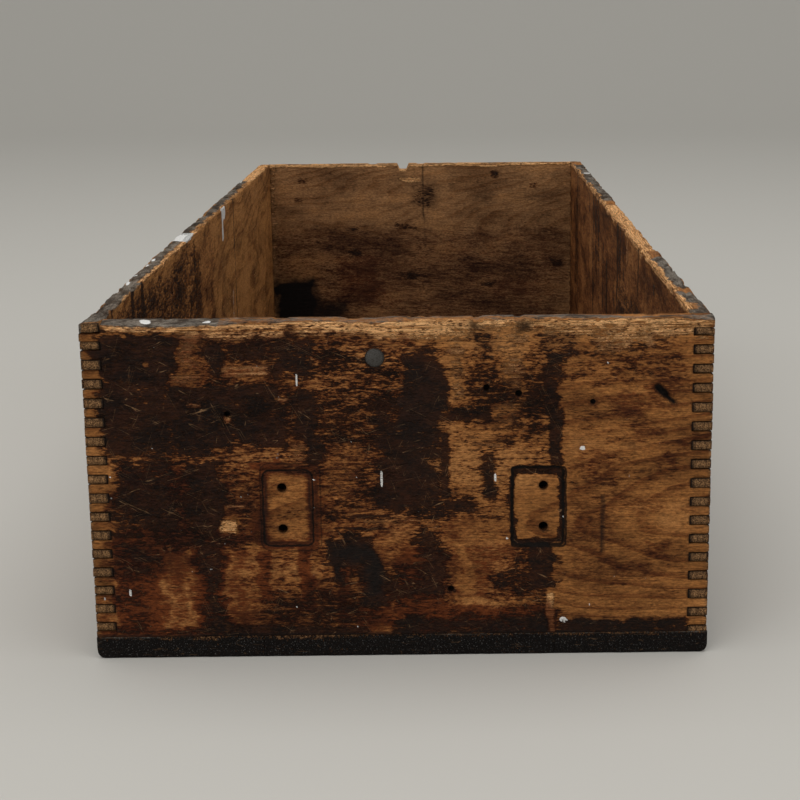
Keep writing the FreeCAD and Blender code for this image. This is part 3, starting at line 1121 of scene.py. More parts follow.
@dataclass
class FloorBoard:
    """One of the long floor boards, with its ends showing under the end walls."""

    node: str
    finish: OldPine
    seed: int
    outer: int = 0  # -1 or +1 where its long edge is the crate's own lower edge
    width_cuts: tuple[int, ...] = (7, 7)
    height_cuts: int = 7
    length_cuts: tuple[int, ...] = (11, 11)
    layers: dict[Layer, list[Patch]] = field(default_factory=dict)

    def build(self) -> bpy.types.Object:
        """Shapes the board.

        Returns:
            The finished board.
        """
        low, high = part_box(self.node)
        self.low, self.high = low / MM, high / MM
        obj = Bench.block(self.node + "_worn", low, high)
        bpy.ops.object.mode_set(mode="EDIT")
        for cuts in self.width_cuts:
            Bench.divide_edges(obj, 0, cuts)
        for cuts in self.length_cuts:
            Bench.divide_edges(obj, 1, cuts)
        Bench.divide_edges(obj, 2, self.height_cuts)
        bpy.ops.object.mode_set(mode="OBJECT")
        Bench.finish(
            obj, "BEVEL", width=0.25 * MM, segments=2, limit_method="ANGLE", angle_limit=math.radians(50)
        )
        self.colour(obj)
        self.wear(obj)
        Bench.shade(obj, 62)
        return obj

    def colour(self, obj: bpy.types.Object) -> None:
        """Lays tar on the ends and edges, and traffic dirt on the inside.

        Args:
            obj: the board.
        """
        co = Bench.points(obj)
        noise = LatticeNoise(self.seed)
        near = np.minimum(co[:, 1] - self.low.y, self.high.y - co[:, 1])
        ends = 1.0 - smooth(0.1, 0.6, near)
        side = np.zeros(len(co))
        if self.outer:
            far = self.low.x if self.outer < 0 else self.high.x
            side = 1.0 - smooth(0.2, 2.0, np.abs(co[:, 0] - far))
        under = 1.0 - smooth(0.0, 1.5, co[:, 2])
        top = smooth(self.high.z - 0.6, self.high.z, co[:, 2])
        upper = smooth(self.high.z - 2.4, self.high.z - 0.6, co[:, 2] + noise(co, (9, 9, 9)))
        film = ends * (1.05 - 0.5 * upper)
        film = np.maximum(film, side * 0.85)
        film = np.maximum(film, under * (0.42 + 0.3 * noise(co, (60, 140, 30))))
        rub = (1.0 - smooth(0.0, 5.0, near)) * under
        Bench.store(obj, Layer.FILM, film)
        Bench.store(obj, Layer.VARNISH, top * 0.4 + side * 0.3)
        raw = rub * 0.5 + under * 0.25 * (1 + noise(co, (30, 90, 30)))
        Bench.store(obj, Layer.RAW, np.clip(raw, 0, 0.6))
        lip = smooth(self.high.z - 1.4, self.high.z - 0.5, co[:, 2])
        Bench.store(obj, Layer.GREY, ends * lip * (0.42 + 0.3 * noise(co + 40, (24, 9, 9))))
        Bench.store(obj, Layer.WHITE, np.zeros(len(co)))
        long_edge = np.minimum(co[:, 0] - self.low.x, self.high.x - co[:, 0])
        joint = top * (1.0 - smooth(0.4, 3.2, long_edge + noise(co + 70, (9, 14, 9)))) * 0.85
        soot = np.maximum(ends * 0.12 + top * 0.25 * (1 + noise(co, (50, 120, 30))), joint)
        Bench.store(obj, Layer.SOOT, np.clip(soot, 0, 1))
        Bench.store(obj, Layer.END, ends)

    def wear(self, obj: bpy.types.Object) -> None:
        """Rounds the crate's lower edges and pits the ends.

        Args:
            obj: the board.
        """
        co = Bench.points(obj)
        noise = LatticeNoise(self.seed + 1)
        rough = 1.0 + 0.35 * noise(co, (18, 18, 18)) + 0.2 * noise(co, (5, 5, 5))
        x, y, z = co[:, 0].copy(), co[:, 1].copy(), co[:, 2].copy()
        for sign in (1, -1):
            end = y - self.low.y if sign > 0 else self.high.y - y
            pit = 0.25 + 0.22 * noise(co + 9, (4.0, 9, 2.5)) + 0.12 * noise(co + 5, (1.7, 9, 1.5))
            end = end + np.maximum(pit, 0.02) * (1 - smooth(0, 3, end))
            z, end = soften(z, end, 0.8 * rough)
            new_z, end = soften(self.high.z - z, end, 0.6 * rough)
            z = self.high.z - new_z
            y = self.low.y + end if sign > 0 else self.high.y - end
        if self.outer:
            side = self.high.x - x if self.outer > 0 else x - self.low.x
            side, z = soften(side, z, 4.6 * (0.85 + 0.15 * rough))
            x = self.high.x - side if self.outer > 0 else self.low.x + side
        under = 1.0 - smooth(0.0, 4.0, z)
        z = z + under * (0.1 + 0.08 * noise(co + 3, (6, 40, 6)))
        # Dirt and tar have closed the gaps at the ends.
        near = np.minimum(y - self.low.y, self.high.y - y)
        half = (self.high.x - self.low.x) / 2
        off = x - (self.low.x + half)
        side = np.sign(off) * smooth(half - 3.0, half, np.abs(off))
        x = x + 0.28 * side * (1 - smooth(1.0, 8.0, near)) * (np.sign(side) != self.outer)
        Bench.move(obj, np.column_stack([x, y, z]))

    def dress(self, obj: bpy.types.Object) -> None:
        """Gives the board its wood and ties it to the frame.

        Args:
            obj: the board.
        """
        obj.data.materials.clear()
        obj.data.materials.append(self.finish.material())
        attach(obj, "root")
        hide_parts(self.node)


@dataclass
class BroadHeadNail:
    """The broad-headed steel nail near the front rim, hammered and dull."""

    node: str = "broad_head_nail"
    sides: int = 48
    flange: float = 1.4  # how thick the head is, in millimetres
    rings: int = 5  # rings of faces that the dome is shaped from
    shank: float = 6.4
    point: float = 2.0

    def build(self) -> bpy.types.Object:
        """Shapes the nail: shank, flange and a low dome flattened by the hammer.

        Returns:
            The nail.
        """
        low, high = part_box(self.node)
        middle = (low + high) / 2
        radius = (high.x - low.x) / 2
        thick = self.flange * MM
        face = low.y
        centre = Vector((middle.x, face + thick / 2, middle.z))
        obj = Bench.rod("hammered_nail", centre, radius, thick, Vector((0, -1, 0)), self.sides)
        bpy.ops.object.mode_set(mode="EDIT")
        Bench.choose_faces(obj, lambda m, n: n.y < -0.9)
        bpy.ops.mesh.inset(thickness=0.35 * MM, depth=0.0)
        for _ in range(self.rings):
            bpy.ops.mesh.inset(thickness=0.68 * MM, depth=0.0)
        Bench.choose_faces(obj, lambda m, n: n.y > 0.9)
        bpy.ops.mesh.inset(thickness=3.0 * MM, depth=0.0)
        bpy.ops.mesh.extrude_region_move(TRANSFORM_OT_translate={"value": (0, self.shank * MM, 0)})
        bpy.ops.mesh.extrude_region_move(TRANSFORM_OT_translate={"value": (0, self.point * MM, 0)})
        bpy.ops.transform.resize(value=(0.12, 1.0, 0.12))
        bpy.ops.object.mode_set(mode="OBJECT")
        co = Bench.points(obj)
        noise = LatticeNoise(31)
        across = (co[:, 0] - middle.x / MM) / (radius / MM)
        out = np.hypot(co[:, 0] - middle.x / MM, co[:, 2] - middle.z / MM) / (radius / MM)
        front = co[:, 1] < face / MM + 0.3
        dome = 0.55 * out ** 2.2 + 0.10 * noise(co, (2.2, 5, 2.0)) + 0.12
        flat = 0.25 * smooth(0.1, 0.8, across + 0.4)
        co[:, 1] = np.where(front, co[:, 1] + np.clip(dome + flat * 0.3, 0, 0.9), co[:, 1])
        Bench.move(obj, co)
        Bench.shade(obj, 40)
        return obj

    def dress(self, obj: bpy.types.Object) -> None:
        """Gives the nail its steel and ties it to the frame.

        Args:
            obj: the nail.
        """
        obj.data.materials.append(RustedSteel("hammered_steel", steel="504e4b", rusted=0.12).material())
        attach(obj, "root")
        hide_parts(self.node)


@dataclass
class FloorNails:
    """The four rows of nails driven up through the floor; the frame's own shapes, rusted."""

    nodes: tuple[str, ...] = (
        "front_floor_nails", "back_floor_nails", "left_floor_nails", "right_floor_nails"
    )

    def dress(self) -> None:
        """Rusts the nails."""
        rust = RustedSteel("rusted_wire_nail", steel="4d443c", rust="5a331d", rusted=0.85).material()
        for name in self.nodes:
            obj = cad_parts[name]
            if not obj.data.materials:
                obj.data.materials.append(rust)
            for i in range(len(obj.material_slots)):
                obj.material_slots[i].material = rust


# ---- The crate -----------------------------------------------------------------------------


@dataclass
class Crate:
    """The whole crate: the wear of each board listed, in millimetres."""

    plate: tuple[float, float] = (24.4, 38.8)  # width and height of a lost plate's mark
    plate_level: float = 77.2
    plate_offset: float = 61.2  # from the middle, on the back
    screw_levels: tuple[float, float] = (66.75, 87.65)
    screw_radius: float = 2.3
    screw_depth: float = 8.0
    length: float = 812.0  # the run of a long side that patches are strewn over

    def screw_holes(self, across: tuple[float, float]) -> list[tuple[float, float, float, float]]:
        """The four holes that held two lost plates.

        Args:
            across: where the two plates' screws are, along the board.

        Returns:
            The holes: place along, level, radius and depth.
        """
        return [(u, v, self.screw_radius, self.screw_depth) for u in across for v in self.screw_levels]

    def side_film(self, seed: int) -> list[Patch]:
        """The broken film on the outside of a long side: broad, middling and small patches, and its foot.

        Args:
            seed: the side's own seed.

        Returns:
            The patches.
        """
        film = strewn(seed + 2, 16, (0, self.length, 20, 160), (60, 150), 0.45, (0.22, 0.5), soft=16)
        film += strewn(seed + 6, 26, (0, self.length, 20, 168), (14, 46), 0.5, (0.45, 0.95), soft=6)
        film += strewn(seed + 7, 60, (0, self.length, 20, 168), (4, 16), 0.5, (0.5, 0.9))
        return film + patches([(406, 15, 800, 7, 0.8)])

    def side_runs(self, seed: int) -> list[Patch]:
        """Runs of varnish down a long side."""
        return strewn(seed + 3, 26, (10, 800, 20, 90), (8, 22), 3.4, (0.4, 0.8), soft=6)

    def side_spatter(self, seed: int, count: int) -> list[Patch]:
        """White spatter on a long side."""
        return strewn(seed + 4, count, (0, self.length, 20, 168), (1.4, 3.0), 1.6, (0.9, 1.1), soft=0.8)

    def side_dents(self, seed: int) -> list[Patch]:
        """Small dents all over a long side."""
        return strewn(seed + 5, 90, (0, self.length, 16, 168), (2.5, 9), 0.35, (0.15, 0.6), soft=1.4)

    def front(self) -> WallBoard:
        """The front end, the most worn and stained.

        Returns:
            The board.
        """
        dark = patches([
            # a thin, broken film over the whole left two thirds
            (-70, 120, 150, 92, 0.46), (-105, 70, 76, 30, 0.38), (-20, 45, 110, 60, 0.3),
            (50, 120, 56, 90, 0.33), (50, 35, 60, 40, 0.34), (112, 152, 60, 30, 0.24),
            (98, 106, 34, 44, 0.16), (0, 167, 300, 9, 0.22),
            # the brown-black blocks of the upper left
            (-127, 122, 36, 40, 0.98), (-95, 121, 34, 36, 0.95), (-126, 84, 34, 40, 0.72),
            (-96, 84, 18, 38, 0.95), (-88, 152, 11, 17, 0.95), (-71, 155, 19, 10, 0.78),
            (-47, 152, 23, 20, 0.84), (-84, 136.5, 54, 6.5, 0.98), (-58, 131, 44, 12, 0.72),
            (-66, 117, 28, 19, 1.02), (-44, 118, 13, 38, 0.95), (-80, 90, 12, 20, 0.4),
            (-20, 150, 40, 22, 0.66), (-20, 132, 38, 18, 0.6), (-24, 113, 16, 14, 0.7),
            # the big dark block right of the middle
            (11, 128, 22, 58, 1.0), (4, 98, 34, 46, 1.0), (-7, 118, 14, 30, 0.84), (10, 74, 26, 10, 0.84),
            (27, 76, 16, 11, 0.84), (22, 98, 5, 36, 1.0), (33, 123, 26, 9, 0.84), (42, 137, 34, 20, 0.56),
            (40, 158, 12, 16, 0.72), (35, 145, 26, 8, 0.6), (43, 92, 9, 24, 1.0), (50, 70, 30, 9, 0.62),
            (54, 84, 8, 12, 0.5), (37, 64, 22, 5, 0.6), (54, 108, 9, 9, 0.66), (66, 128, 10, 34, 0.6),
            (37, 127, 14, 12, 0.6),
            # streaks under it, the foot, and the knots
            (-22, 72.5, 34, 3.0, 0.8), (-12, 60.5, 50, 3.4, 0.8), (-20, 66.5, 26, 2.0, 0.8),
            (14, 48, 14, 38, 0.78), (2, 36, 36, 18, 0.62), (50, 44, 26, 26, 0.64), (37, 16, 78, 12, 0.84),
            (-60, 14, 90, 5, 0.7), (-120, 14, 50, 4, 0.6), (-128, 52, 12, 7, 0.7),
            (-95, 38, 14, 50, 0.76), (-130, 36, 22, 54, 0.5), (-66, 42, 6, 26, 0.4),
            (-46, 42, 7, 34, 0.42),
        ], soft=6.0)
        dark += patches([
            (-125, 154, 38, 23.5, 1.6), (-27, 62, 6, 7, 0.95), (77, 157, 15, 15, 0.58),
            (70, 160, 12, 9, 0.56), (75, 147, 11, 14, 0.7), (73.5, 136, 8, 26, 0.76),
            (76.5, 112, 6, 28, 1.15), (68, 46, 13, 27, 1.05), (110, 14, 66, 8, 0.8),
            (24.5, 35, 4.5, 4, 1.1), (-128, 63.5, 4, 3, 1.0), (115, 157, 9, 4, 0.6), (-8, 153, 4, 3, 1.0),
            (-88, 83, 5, 3, 0.9),
        ], soft=2.5)
        dark += patches([
            (-23, 53, 25, 11, 1.1), (-31, 45, 9, 17, 0.8), (-13, 42, 12, 24, 1.15),
            (-24, 61, 13, 7, 0.85), (-8, 33, 6, 10, 0.8),
        ], soft=4.0, ragged=1.9)
        dark += patches([(67.2, 77.4, 26.0, 39.0, 1.5)], ring=2.2, ragged=0.35)
        dark += patches([(66, 95, 21, 3.4, 1.2), (78, 84.5, 3.4, 8, 1.0)], ragged=0.5)
        dark += patches([(67.2, 76.5, 20.5, 31.5, -1.0), (-55.5, 77, 22.0, 35.0, -1.0)], ragged=0.25)
        # where the film has come away
        dark += patches([
            (-55.5, 77.5, 32, 45, -0.85), (-81, 80, 10, 26, -0.45), (-99.5, 153, 12, 28, -1.0),
            (-103, 143, 17, 6, -0.9), (-73, 146, 20, 6, -0.85), (-121.5, 149.5, 4, 4.5, -0.9),
            (-56, 132, 8, 5, -0.7), (-99, 129.5, 8, 3, -0.7), (-50, 106, 8, 12, -0.7),
            (28, 148, 8, 34, -0.5), (54, 153, 14, 24, -0.6), (-30, 96, 16, 26, -0.55),
            (-3, 56, 18, 15, -0.95), (4, 69, 8, 6, -0.7), (38, 58, 30, 22, -0.8), (33, 40, 18, 30, -0.75),
            (42, 110, 18, 12, -0.5), (74, 20, 4, 28, -0.9), (51, 123, 14, 14, -0.6),
            (-84, 68, 8, 6, -0.9), (-75, 87, 8, 17, -0.5), (-83, 122, 4, 4.5, -1.0),
            (-123, 132, 7, 7, -0.4),
        ], soft=2.5)
        red = patches([
            (-64, 112, 160, 112, 0.62), (-129, 38, 26, 60, 1.1), (-96, 36, 17, 52, 1.4),
            (-111, 40, 14, 50, 0.75), (-81, 38, 12, 44, 0.7), (-57, 40, 12, 34, 0.6),
            (-67, 42, 9, 28, 1.0), (-46.5, 42, 9, 36, 1.0), (-28, 28, 7, 38, 0.95),
            (-106, 14, 88, 6, 0.9), (-10, 28, 24, 30, 0.85), (10, 34, 25, 46, 0.95),
            (40, 18, 74, 16, 1.1), (-90, 64, 40, 12, 0.95), (-118, 86, 50, 30, 0.85),
            (-60, 50, 180, 90, 0.58), (50, 110, 60, 110, 0.44), (52, 44, 44, 34, 0.66),
            (110, 90, 64, 150, 0.3), (112, 150, 60, 30, 0.42), (96, 60, 30, 60, 0.4),
        ], soft=6.0)
        red += patches([(-55.5, 78, 31, 46, 0.95)], soft=2.0)
        red += patches([
            (-55.5, 77.5, 20.0, 35.0, -0.6), (67.2, 77, 20.5, 33.0, -0.85), (-84, 68, 8, 6, -1.0)
        ], ragged=0.25)
        red += strewn(3, 22, (82, 145, 24, 160), (8, 26), 0.6, (0.34, 0.62), soft=6)
        red += patches([(-55.5, 78, 24.5, 40.0, 1.4), (-54.5, 78.5, 28.5, 44.0, 1.0)], ring=1.3, ragged=0.25)
        raw = patches([
            (-64, 112, 160, 112, 0.22), (50, 120, 56, 90, 0.3), (0, 170, 304, 3.0, 0.9),
            (-72, 166, 44, 9, 0.8), (18, 165.5, 46, 11, 0.7), (50, 167, 34, 9, 0.62),
            (82, 166, 30, 11, 0.68), (108, 163, 34, 17, 0.6), (134, 166, 30, 11, 0.7),
            (-10, 167.5, 80, 9, 1.0), (-99.5, 158, 12, 24, 0.6), (-103, 143, 16, 7, 0.6),
            (-73, 146, 26, 6, 0.8), (-70, 151, 30, 2, 0.6), (-56, 132, 8, 5, 0.7),
            (-99, 129.5, 8, 3, 0.7), (-50, 106, 9, 12, 0.6), (-29, 104, 18, 60, 0.45),
            (-20, 140, 38, 40, 0.42), (28, 146, 9, 36, 0.52), (54, 150, 16, 30, 0.5),
            (42, 108, 20, 16, 0.4), (-75, 87, 8, 17, 0.4), (-78, 78.5, 15, 1.6, 0.8),
            (-84, 68, 8, 6, 1.4), (74, 19, 4, 26, 0.8), (19.5, 88, 2, 4, 1.0), (113, 165, 8, 6, 0.9),
            (-83, 121.8, 4, 4, 1.2), (-4, 70, 30, 3, 0.7),
        ], soft=4.0)
        raw += patches([(67.2, 77, 21, 33.0, -0.9), (-55.5, 77, 22.0, 35.0, -0.9)], ragged=0.25)
        grey = patches([
            (0, 4, 306, 9, 0.5), (-120, 6, 66, 11, 1.05), (-20, 5, 60, 9, 0.45), (110, 4, 90, 8, 0.62),
            (-60, 8, 300, 5, 0.6),
        ], face=Face.RIM)
        white = patches([
            (-48.5, 141.5, 1.1, 7, 0.8), (-59.5, 104, 1.0, 6.5, 0.9), (-9, 92, 1.2, 8.0, 0.95),
            (-102.7, 101.5, 1.0, 2.4, 0.8), (-134, 34.5, 1.2, 3.4, 1.0), (46.5, 92, 1.2, 4, 1.0),
            (-94, 45.8, 1.6, 1.6, 0.9), (-77.5, 83.5, 1.2, 1.2, 0.7), (-141.5, 83.5, 1.2, 1.2, 0.7),
            (89, 106.5, 3.0, 2.0, 0.85), (111.5, 92.5, 1.5, 1.5, 0.9), (82.5, 153, 1.4, 1.4, 0.9),
            (121, 39.5, 1.2, 1.2, 0.8), (52.5, 61, 1.6, 1.6, 0.85), (126.5, 109, 1.2, 1.2, 0.8),
            (-147, 31, 3, 2.5, 0.6), (-117, 158, 1.2, 1.2, 0.7), (-22, 16, 1.4, 1.4, 0.7),
            (-52, 26, 1.2, 1.4, 0.7),
        ], soft=0.8)
        white += patches([
            (80, 18, 4.0, 4.0, 0.95), (-72.8, 65, 2.6, 2.6, 0.62), (-86.5, 59.5, 2.6, 2.6, 0.62)
        ], soft=0.6, ring=1.0)
        white += strewn(8, 30, (-145, 130, 18, 165), (0.9, 1.5), 1.0, (0.5, 0.8), soft=0.8)
        white += patches([(-121, 5, 5, 5, 1.1), (-92, 5, 4, 4, 1.0)], face=Face.RIM)
        soot = patches([
            (110, 15, 60, 8, 0.55), (99.2, 68, 1.3, 30, 0.8), (37, 14, 76, 8, 0.4),
            (10, 120, 18, 60, 0.35),
        ])
        soot += patches([
            (-22, 53, 20, 7, 0.9), (-13, 43, 7, 18, 0.9), (-31, 47, 5, 11, 0.6)
        ], soft=3.5, ragged=1.9)
        soot.append(Patch(127.4, 134.2, 9, 3.6, 1.2, turn=-43, soft=1.0, ragged=0.3))
        soot.append(Patch(131.6, 130.2, 7, 2.2, 1.1, turn=-38, soft=0.8, ragged=0.3))
        soot += patches([
            (-55.3, 77.5, 23.5, 39.0, 0.75), (-54.6, 78.4, 28.0, 43.0, 0.35)
        ], ring=1.5, ragged=0.2)
        soot += patches([(-10, 11.6, 290, 1.6, 0.8)], soft=0.8)
        soot += patches([
            (38, 168.5, 6, 5, 0.8), (60, 168, 7, 6, 0.85), (41, 161, 12, 12, 0.35), (76, 158, 18, 18, 0.3)
        ], soft=2.0)
        soot += strewn(7, 9, (44, 60, 118, 132), (1.6, 2.6), 1.0, (0.5, 0.8), ring=0.7)
        soot += patches([(99.4, 68, 1.6, 28, 0.75)], soft=0.8, ragged=0.3)
        dents = patches([
            (67.5, 77.4, 24.4, 38.8, 0.45), (-55.0, 77.2, 24.4, 38.8, 0.45)
        ], soft=0.8, ragged=0.2)
        dents += patches([
            (-55.0, 77.6, 25.0, 40.0, 0.35), (67.5, 77.4, 25.5, 39.0, 0.6)
        ], ring=1.5, ragged=0.3)
        dents += [
            Patch(127.4, 134.2, 8.5, 3.2, 2.4, turn=-43, soft=1.2, ragged=0.3),
            Patch(131.6, 130.2, 6, 2.2, 1.4, turn=-38, soft=1.0, ragged=0.3),
            Patch(-84, 68, 8, 6, 0.9, soft=0.8), Patch(99.4, 68, 1.6, 30, 0.35, soft=0.8, ragged=0.3),
            Patch(-83, 123.5, 4, 5, 0.8, soft=1.0), Patch(94, 129.5, 3, 3, 0.7, soft=1.0),
            Patch(113, 166, 8, 7, 0.8), Patch(-99.5, 158, 12, 18, 0.35),
            Patch(26, 114.5, 28, 2.0, 0.35, turn=4), Patch(114, 138, 46, 1.6, 0.3, turn=-70, soft=0.8),
        ]
        dents += strewn(5, 70, (-145, 145, 16, 168), (1.5, 7), 0.35, (0.12, 0.5), soft=1.0)
        outlines = (
            Outline(-55.0, self.plate_level, *self.plate, 3.6, 0.45, 0.9),
            Outline(-53.6, 77.8, 29.5, 44.5, 4.5, 0.35, 0.55),
            Outline(67.4, self.plate_level, 25.0, 39.4, 1.8, 0.8, 0.95),
            Outline(67.9, 76.8, 26.6, 40.6, 1.5, 0.5, 0.9),
        )
        pine = OldPine(
            "front_pine", Axis.X, pith=(-460.0, 66.0), lean=(0.17, 0.05), ring=5.2, outlines=outlines
        )
        small = [
            (42.5, 137, 1.7, 4), (58, 134, 1.7, 4), (-83, 125, 1.4, 4), (94, 129.5, 1.3, 2),
            (24.5, 35, 1.5, 3),
        ]
        return WallBoard(
            "front_panel", Axis.X, -1, 1, pine, 11, (15, 15), 3,
            layers={
                Layer.FILM: dark, Layer.VARNISH: red, Layer.RAW: raw, Layer.GREY: grey,
                Layer.WHITE: white, Layer.SOOT: soot,
            },
            dents=dents, holes=self.screw_holes((-57.75, 70.15)) + small + [(-11.2, 152.1, 4.75, 1.7)],
            rim_wear=(
                (-152, 2.6, 0.4), (-100, 3.0, 0.5), (-60, 2.2, 0.4), (-30, 1.0, 0.4), (60, 0.9, 0.4),
                (152, 0.7, 0.4),
            ),
            rim_dips=((38, 5, 0.8), (58, 5, 0.8), (-17, 26, 0.5)),
        )

    def back(self) -> WallBoard:
        """The back end, seen inside over the front rim.

        Returns:
            The board.
        """
        inside = Face.INSIDE
        dark = patches([(1, 141, 20, 20, 0.5), (69, 161, 7, 6, 0.8)], face=inside, soft=6)
        dark += patches([
            (-100, 60, 90, 80, 0.2), (60, 60, 150, 80, 0.14), (0, 90, 290, 170, 0.1)
        ], face=inside, soft=20)
        dark += strewn(20, 14, (-130, 130, 20, 165), (5, 16), 0.6, (0.35, 0.6), face=inside, soft=6)
        dark += strewn(21, 7, (-142, 142, 35, 150), (50, 110), 0.6, (0.25, 0.6), soft=14)
        dark += strewn(27, 14, (-142, 142, 25, 165), (10, 34), 0.9, (0.5, 0.95), soft=6)
        dark += strewn(28, 24, (-142, 142, 25, 165), (4, 12), 0.7, (0.5, 0.9))
        dark += patches([(-110, 18, 80, 12, 0.9), (60, 16, 120, 10, 0.7)])
        red = patches([
            (0, 60, 290, 110, 0.5), (-60, 60, 60, 60, 0.7), (90, 50, 70, 40, 0.6)
        ], face=inside, soft=18)
        red += patches([(0, 90, 300, 160, 0.52)])
        red += strewn(22, 14, (-140, 140, 20, 90), (8, 18), 3.0, (0.6, 1.0))
        raw = patches([(-10, 156, 21, 5, 0.9), (0, 170, 300, 3, 0.8), (-139, 90, 6, 160, 0.5)], face=inside)
        raw += patches([(0, 168, 300, 8, 0.8)])
        raw += patches([(50, 120, 40, 64, 0.42), (-70, 90, 30, 64, 0.42)], soft=12)
        raw += patches([(-1, 5, 300, 11, 0.75)], face=Face.RIM)
        soot = patches([
            (-122, 34, 42, 56, 1.2), (-104, 24, 66, 36, 0.9), (-130, 62, 22, 14, 0.5),
            (2, 141, 26, 24, 0.6),
        ], face=inside, soft=9)
        soot += patches([(2, 145, 1.6, 52, 0.8), (3, 105, 1.4, 34, 0.5)], face=inside, soft=0.8)
        soot += strewn(23, 8, (-120, 120, 15, 60), (14, 30), 0.7, (0.3, 0.6), soft=8)
        soot += patches([(0, 62, 296, 110, 0.3)], face=inside, soft=24)
        soot += strewn(26, 60, (-140, 140, 20, 168), (10, 44), 0.6, (0.1, 0.34), face=inside, soft=9)
        grey = patches([(-80, 4, 120, 9, 0.5), (90, 4, 80, 9, 0.5)], face=Face.RIM)
        white = strewn(24, 12, (-140, 140, 20, 165), (1.2, 2.6), 1.6, (0.9, 1.1), soft=0.8)
        dents = []
        for at in (-self.plate_offset, self.plate_offset):
            level = self.plate_level
            dents.append(Patch(at, level, *self.plate, 0.45, soft=0.8, ragged=0.2))
            dents.append(Patch(at, level, 25.4, 39.8, 0.4, ring=1.5, ragged=0.3))
            dark.append(Patch(at, level, 26.0, 40.0, 1.1, ring=2.0, ragged=0.5))
            dark.append(Patch(at, level, 20.5, 34.0, -0.95, ragged=0.4))
        dents += strewn(25, 50, (-145, 145, 16, 168), (1.5, 7), 0.35, (0.12, 0.5), soft=1.0)
        outlines = (
            Outline(-self.plate_offset, self.plate_level, *self.plate, 3.6, 0.7, 0.9),
            Outline(self.plate_offset, self.plate_level, *self.plate, 3.6, 0.9, 0.95),
        )
        pine = OldPine(
            "back_pine", Axis.X, pith=(470.0, 110.0), lean=(-0.12, 0.03),
            early="99704a", late="79512f", outlines=outlines,
        )
        return WallBoard(
            "back_panel", Axis.X, 1, -1, pine, 12, (15, 15), 3,
            layers={
                Layer.FILM: dark, Layer.VARNISH: red, Layer.RAW: raw, Layer.SOOT: soot, Layer.GREY: grey,
                Layer.WHITE: white,
            },
            dents=dents,
            holes=self.screw_holes((-63.95, 63.95)),
            rim_wear=((-152, 1.2, 0.6), (0, 0.8, 0.7), (152, 1.2, 0.6)),
            rim_dips=((-16.6, 11, 5.2), (0, 9, 0.8)), torn=0.9,
        )

    def left_side(self) -> WallBoard:
        """The left-hand long side.

        Returns:
            The board.
        """
        inside = Face.INSIDE
        dark = patches([(170, 90, 330, 150, 0.42), (521, 100, 3, 150, 1.0)], face=inside, soft=14)
        dark += strewn(31, 26, (10, 340, 30, 170), (5, 12), 5.0, (0.5, 0.8), face=inside)
        dark += self.side_film(30)
        red = patches([(200, 90, 420, 160, 0.5)], face=inside, soft=20) + patches([(406, 90, 812, 160, 0.52)])
        red += self.side_runs(30)
        raw = patches([
            (480, 6, 340, 9, 0.5), (730, 5, 160, 12, 1.0), (230, 9, 200, 4, 0.8), (100, 9, 140, 3.5, 0.8)
        ], face=Face.RIM)
        raw += patches([(406, 168, 800, 7, 0.8)])
        raw += patches([(300, 100, 120, 70, 0.4), (620, 80, 90, 80, 0.4)], soft=20)
        # Painted light: faint, broad pale patches that lift the inside face where the other walls shade it.
        raw += patches([(600, 100, 380, 150, 0.16), (150, 120, 200, 80, 0.2)], face=inside, soft=16)
        grey = patches([
            (60, 5, 110, 11, 0.95), (160, 4, 100, 8, 0.9), (330, 4, 330, 7, 0.85), (560, 4, 190, 8, 0.8)
        ], face=Face.RIM)
        grey += patches([(4, 169, 12, 5, 1.0)], face=Face.OUTSIDE)
        white = patches([
            (300, 4, 40, 11, 1.3), (120, 1.5, 5, 2, 1.1), (145, 1.5, 4, 2, 1.0), (200, 2, 9, 3, 1.0),
            (180, 1.5, 5, 2, 1.0),
        ], face=Face.RIM)
        white += patches([
            (461, 168, 20, 10, 0.85), (455, 160, 9, 26, 0.85), (501, 70, 5, 70, 0.5)
        ], face=inside)
        white += patches([(300, 166, 30, 14, 0.8)]) + self.side_spatter(30, 26)
        soot = patches([(60, 70, 120, 110, 0.5), (200, 50, 200, 80, 0.42)], face=inside, soft=20)
        # The left board's wood tones are set paler than the other boards' as painted light, lifting its
        # inside face where the walls shade it.
        pine = OldPine(
            "left_pine", Axis.Y, pith=(-230.0, 70.0), lean=(0.05, 0.02), early="b57f48", late="7a4a24"
        )
        return WallBoard(
            "left_side_panel", Axis.Y, -1, -1, pine, 13, (15, 31), 1,
            layers={
                Layer.FILM: dark, Layer.VARNISH: red, Layer.RAW: raw, Layer.GREY: grey,
                Layer.WHITE: white, Layer.SOOT: soot,
            },
            dents=self.side_dents(30),
            rim_wear=((0, 1.6, 0.5), (180, 1.2, 0.4), (190, 0.5, 0.5), (600, 0.7, 0.6), (812, 1.2, 0.8)),
            rim_dips=((189, 8, 1.4), (420, 14, 1.0), (640, 9, 0.8)), torn=1.3,
        )

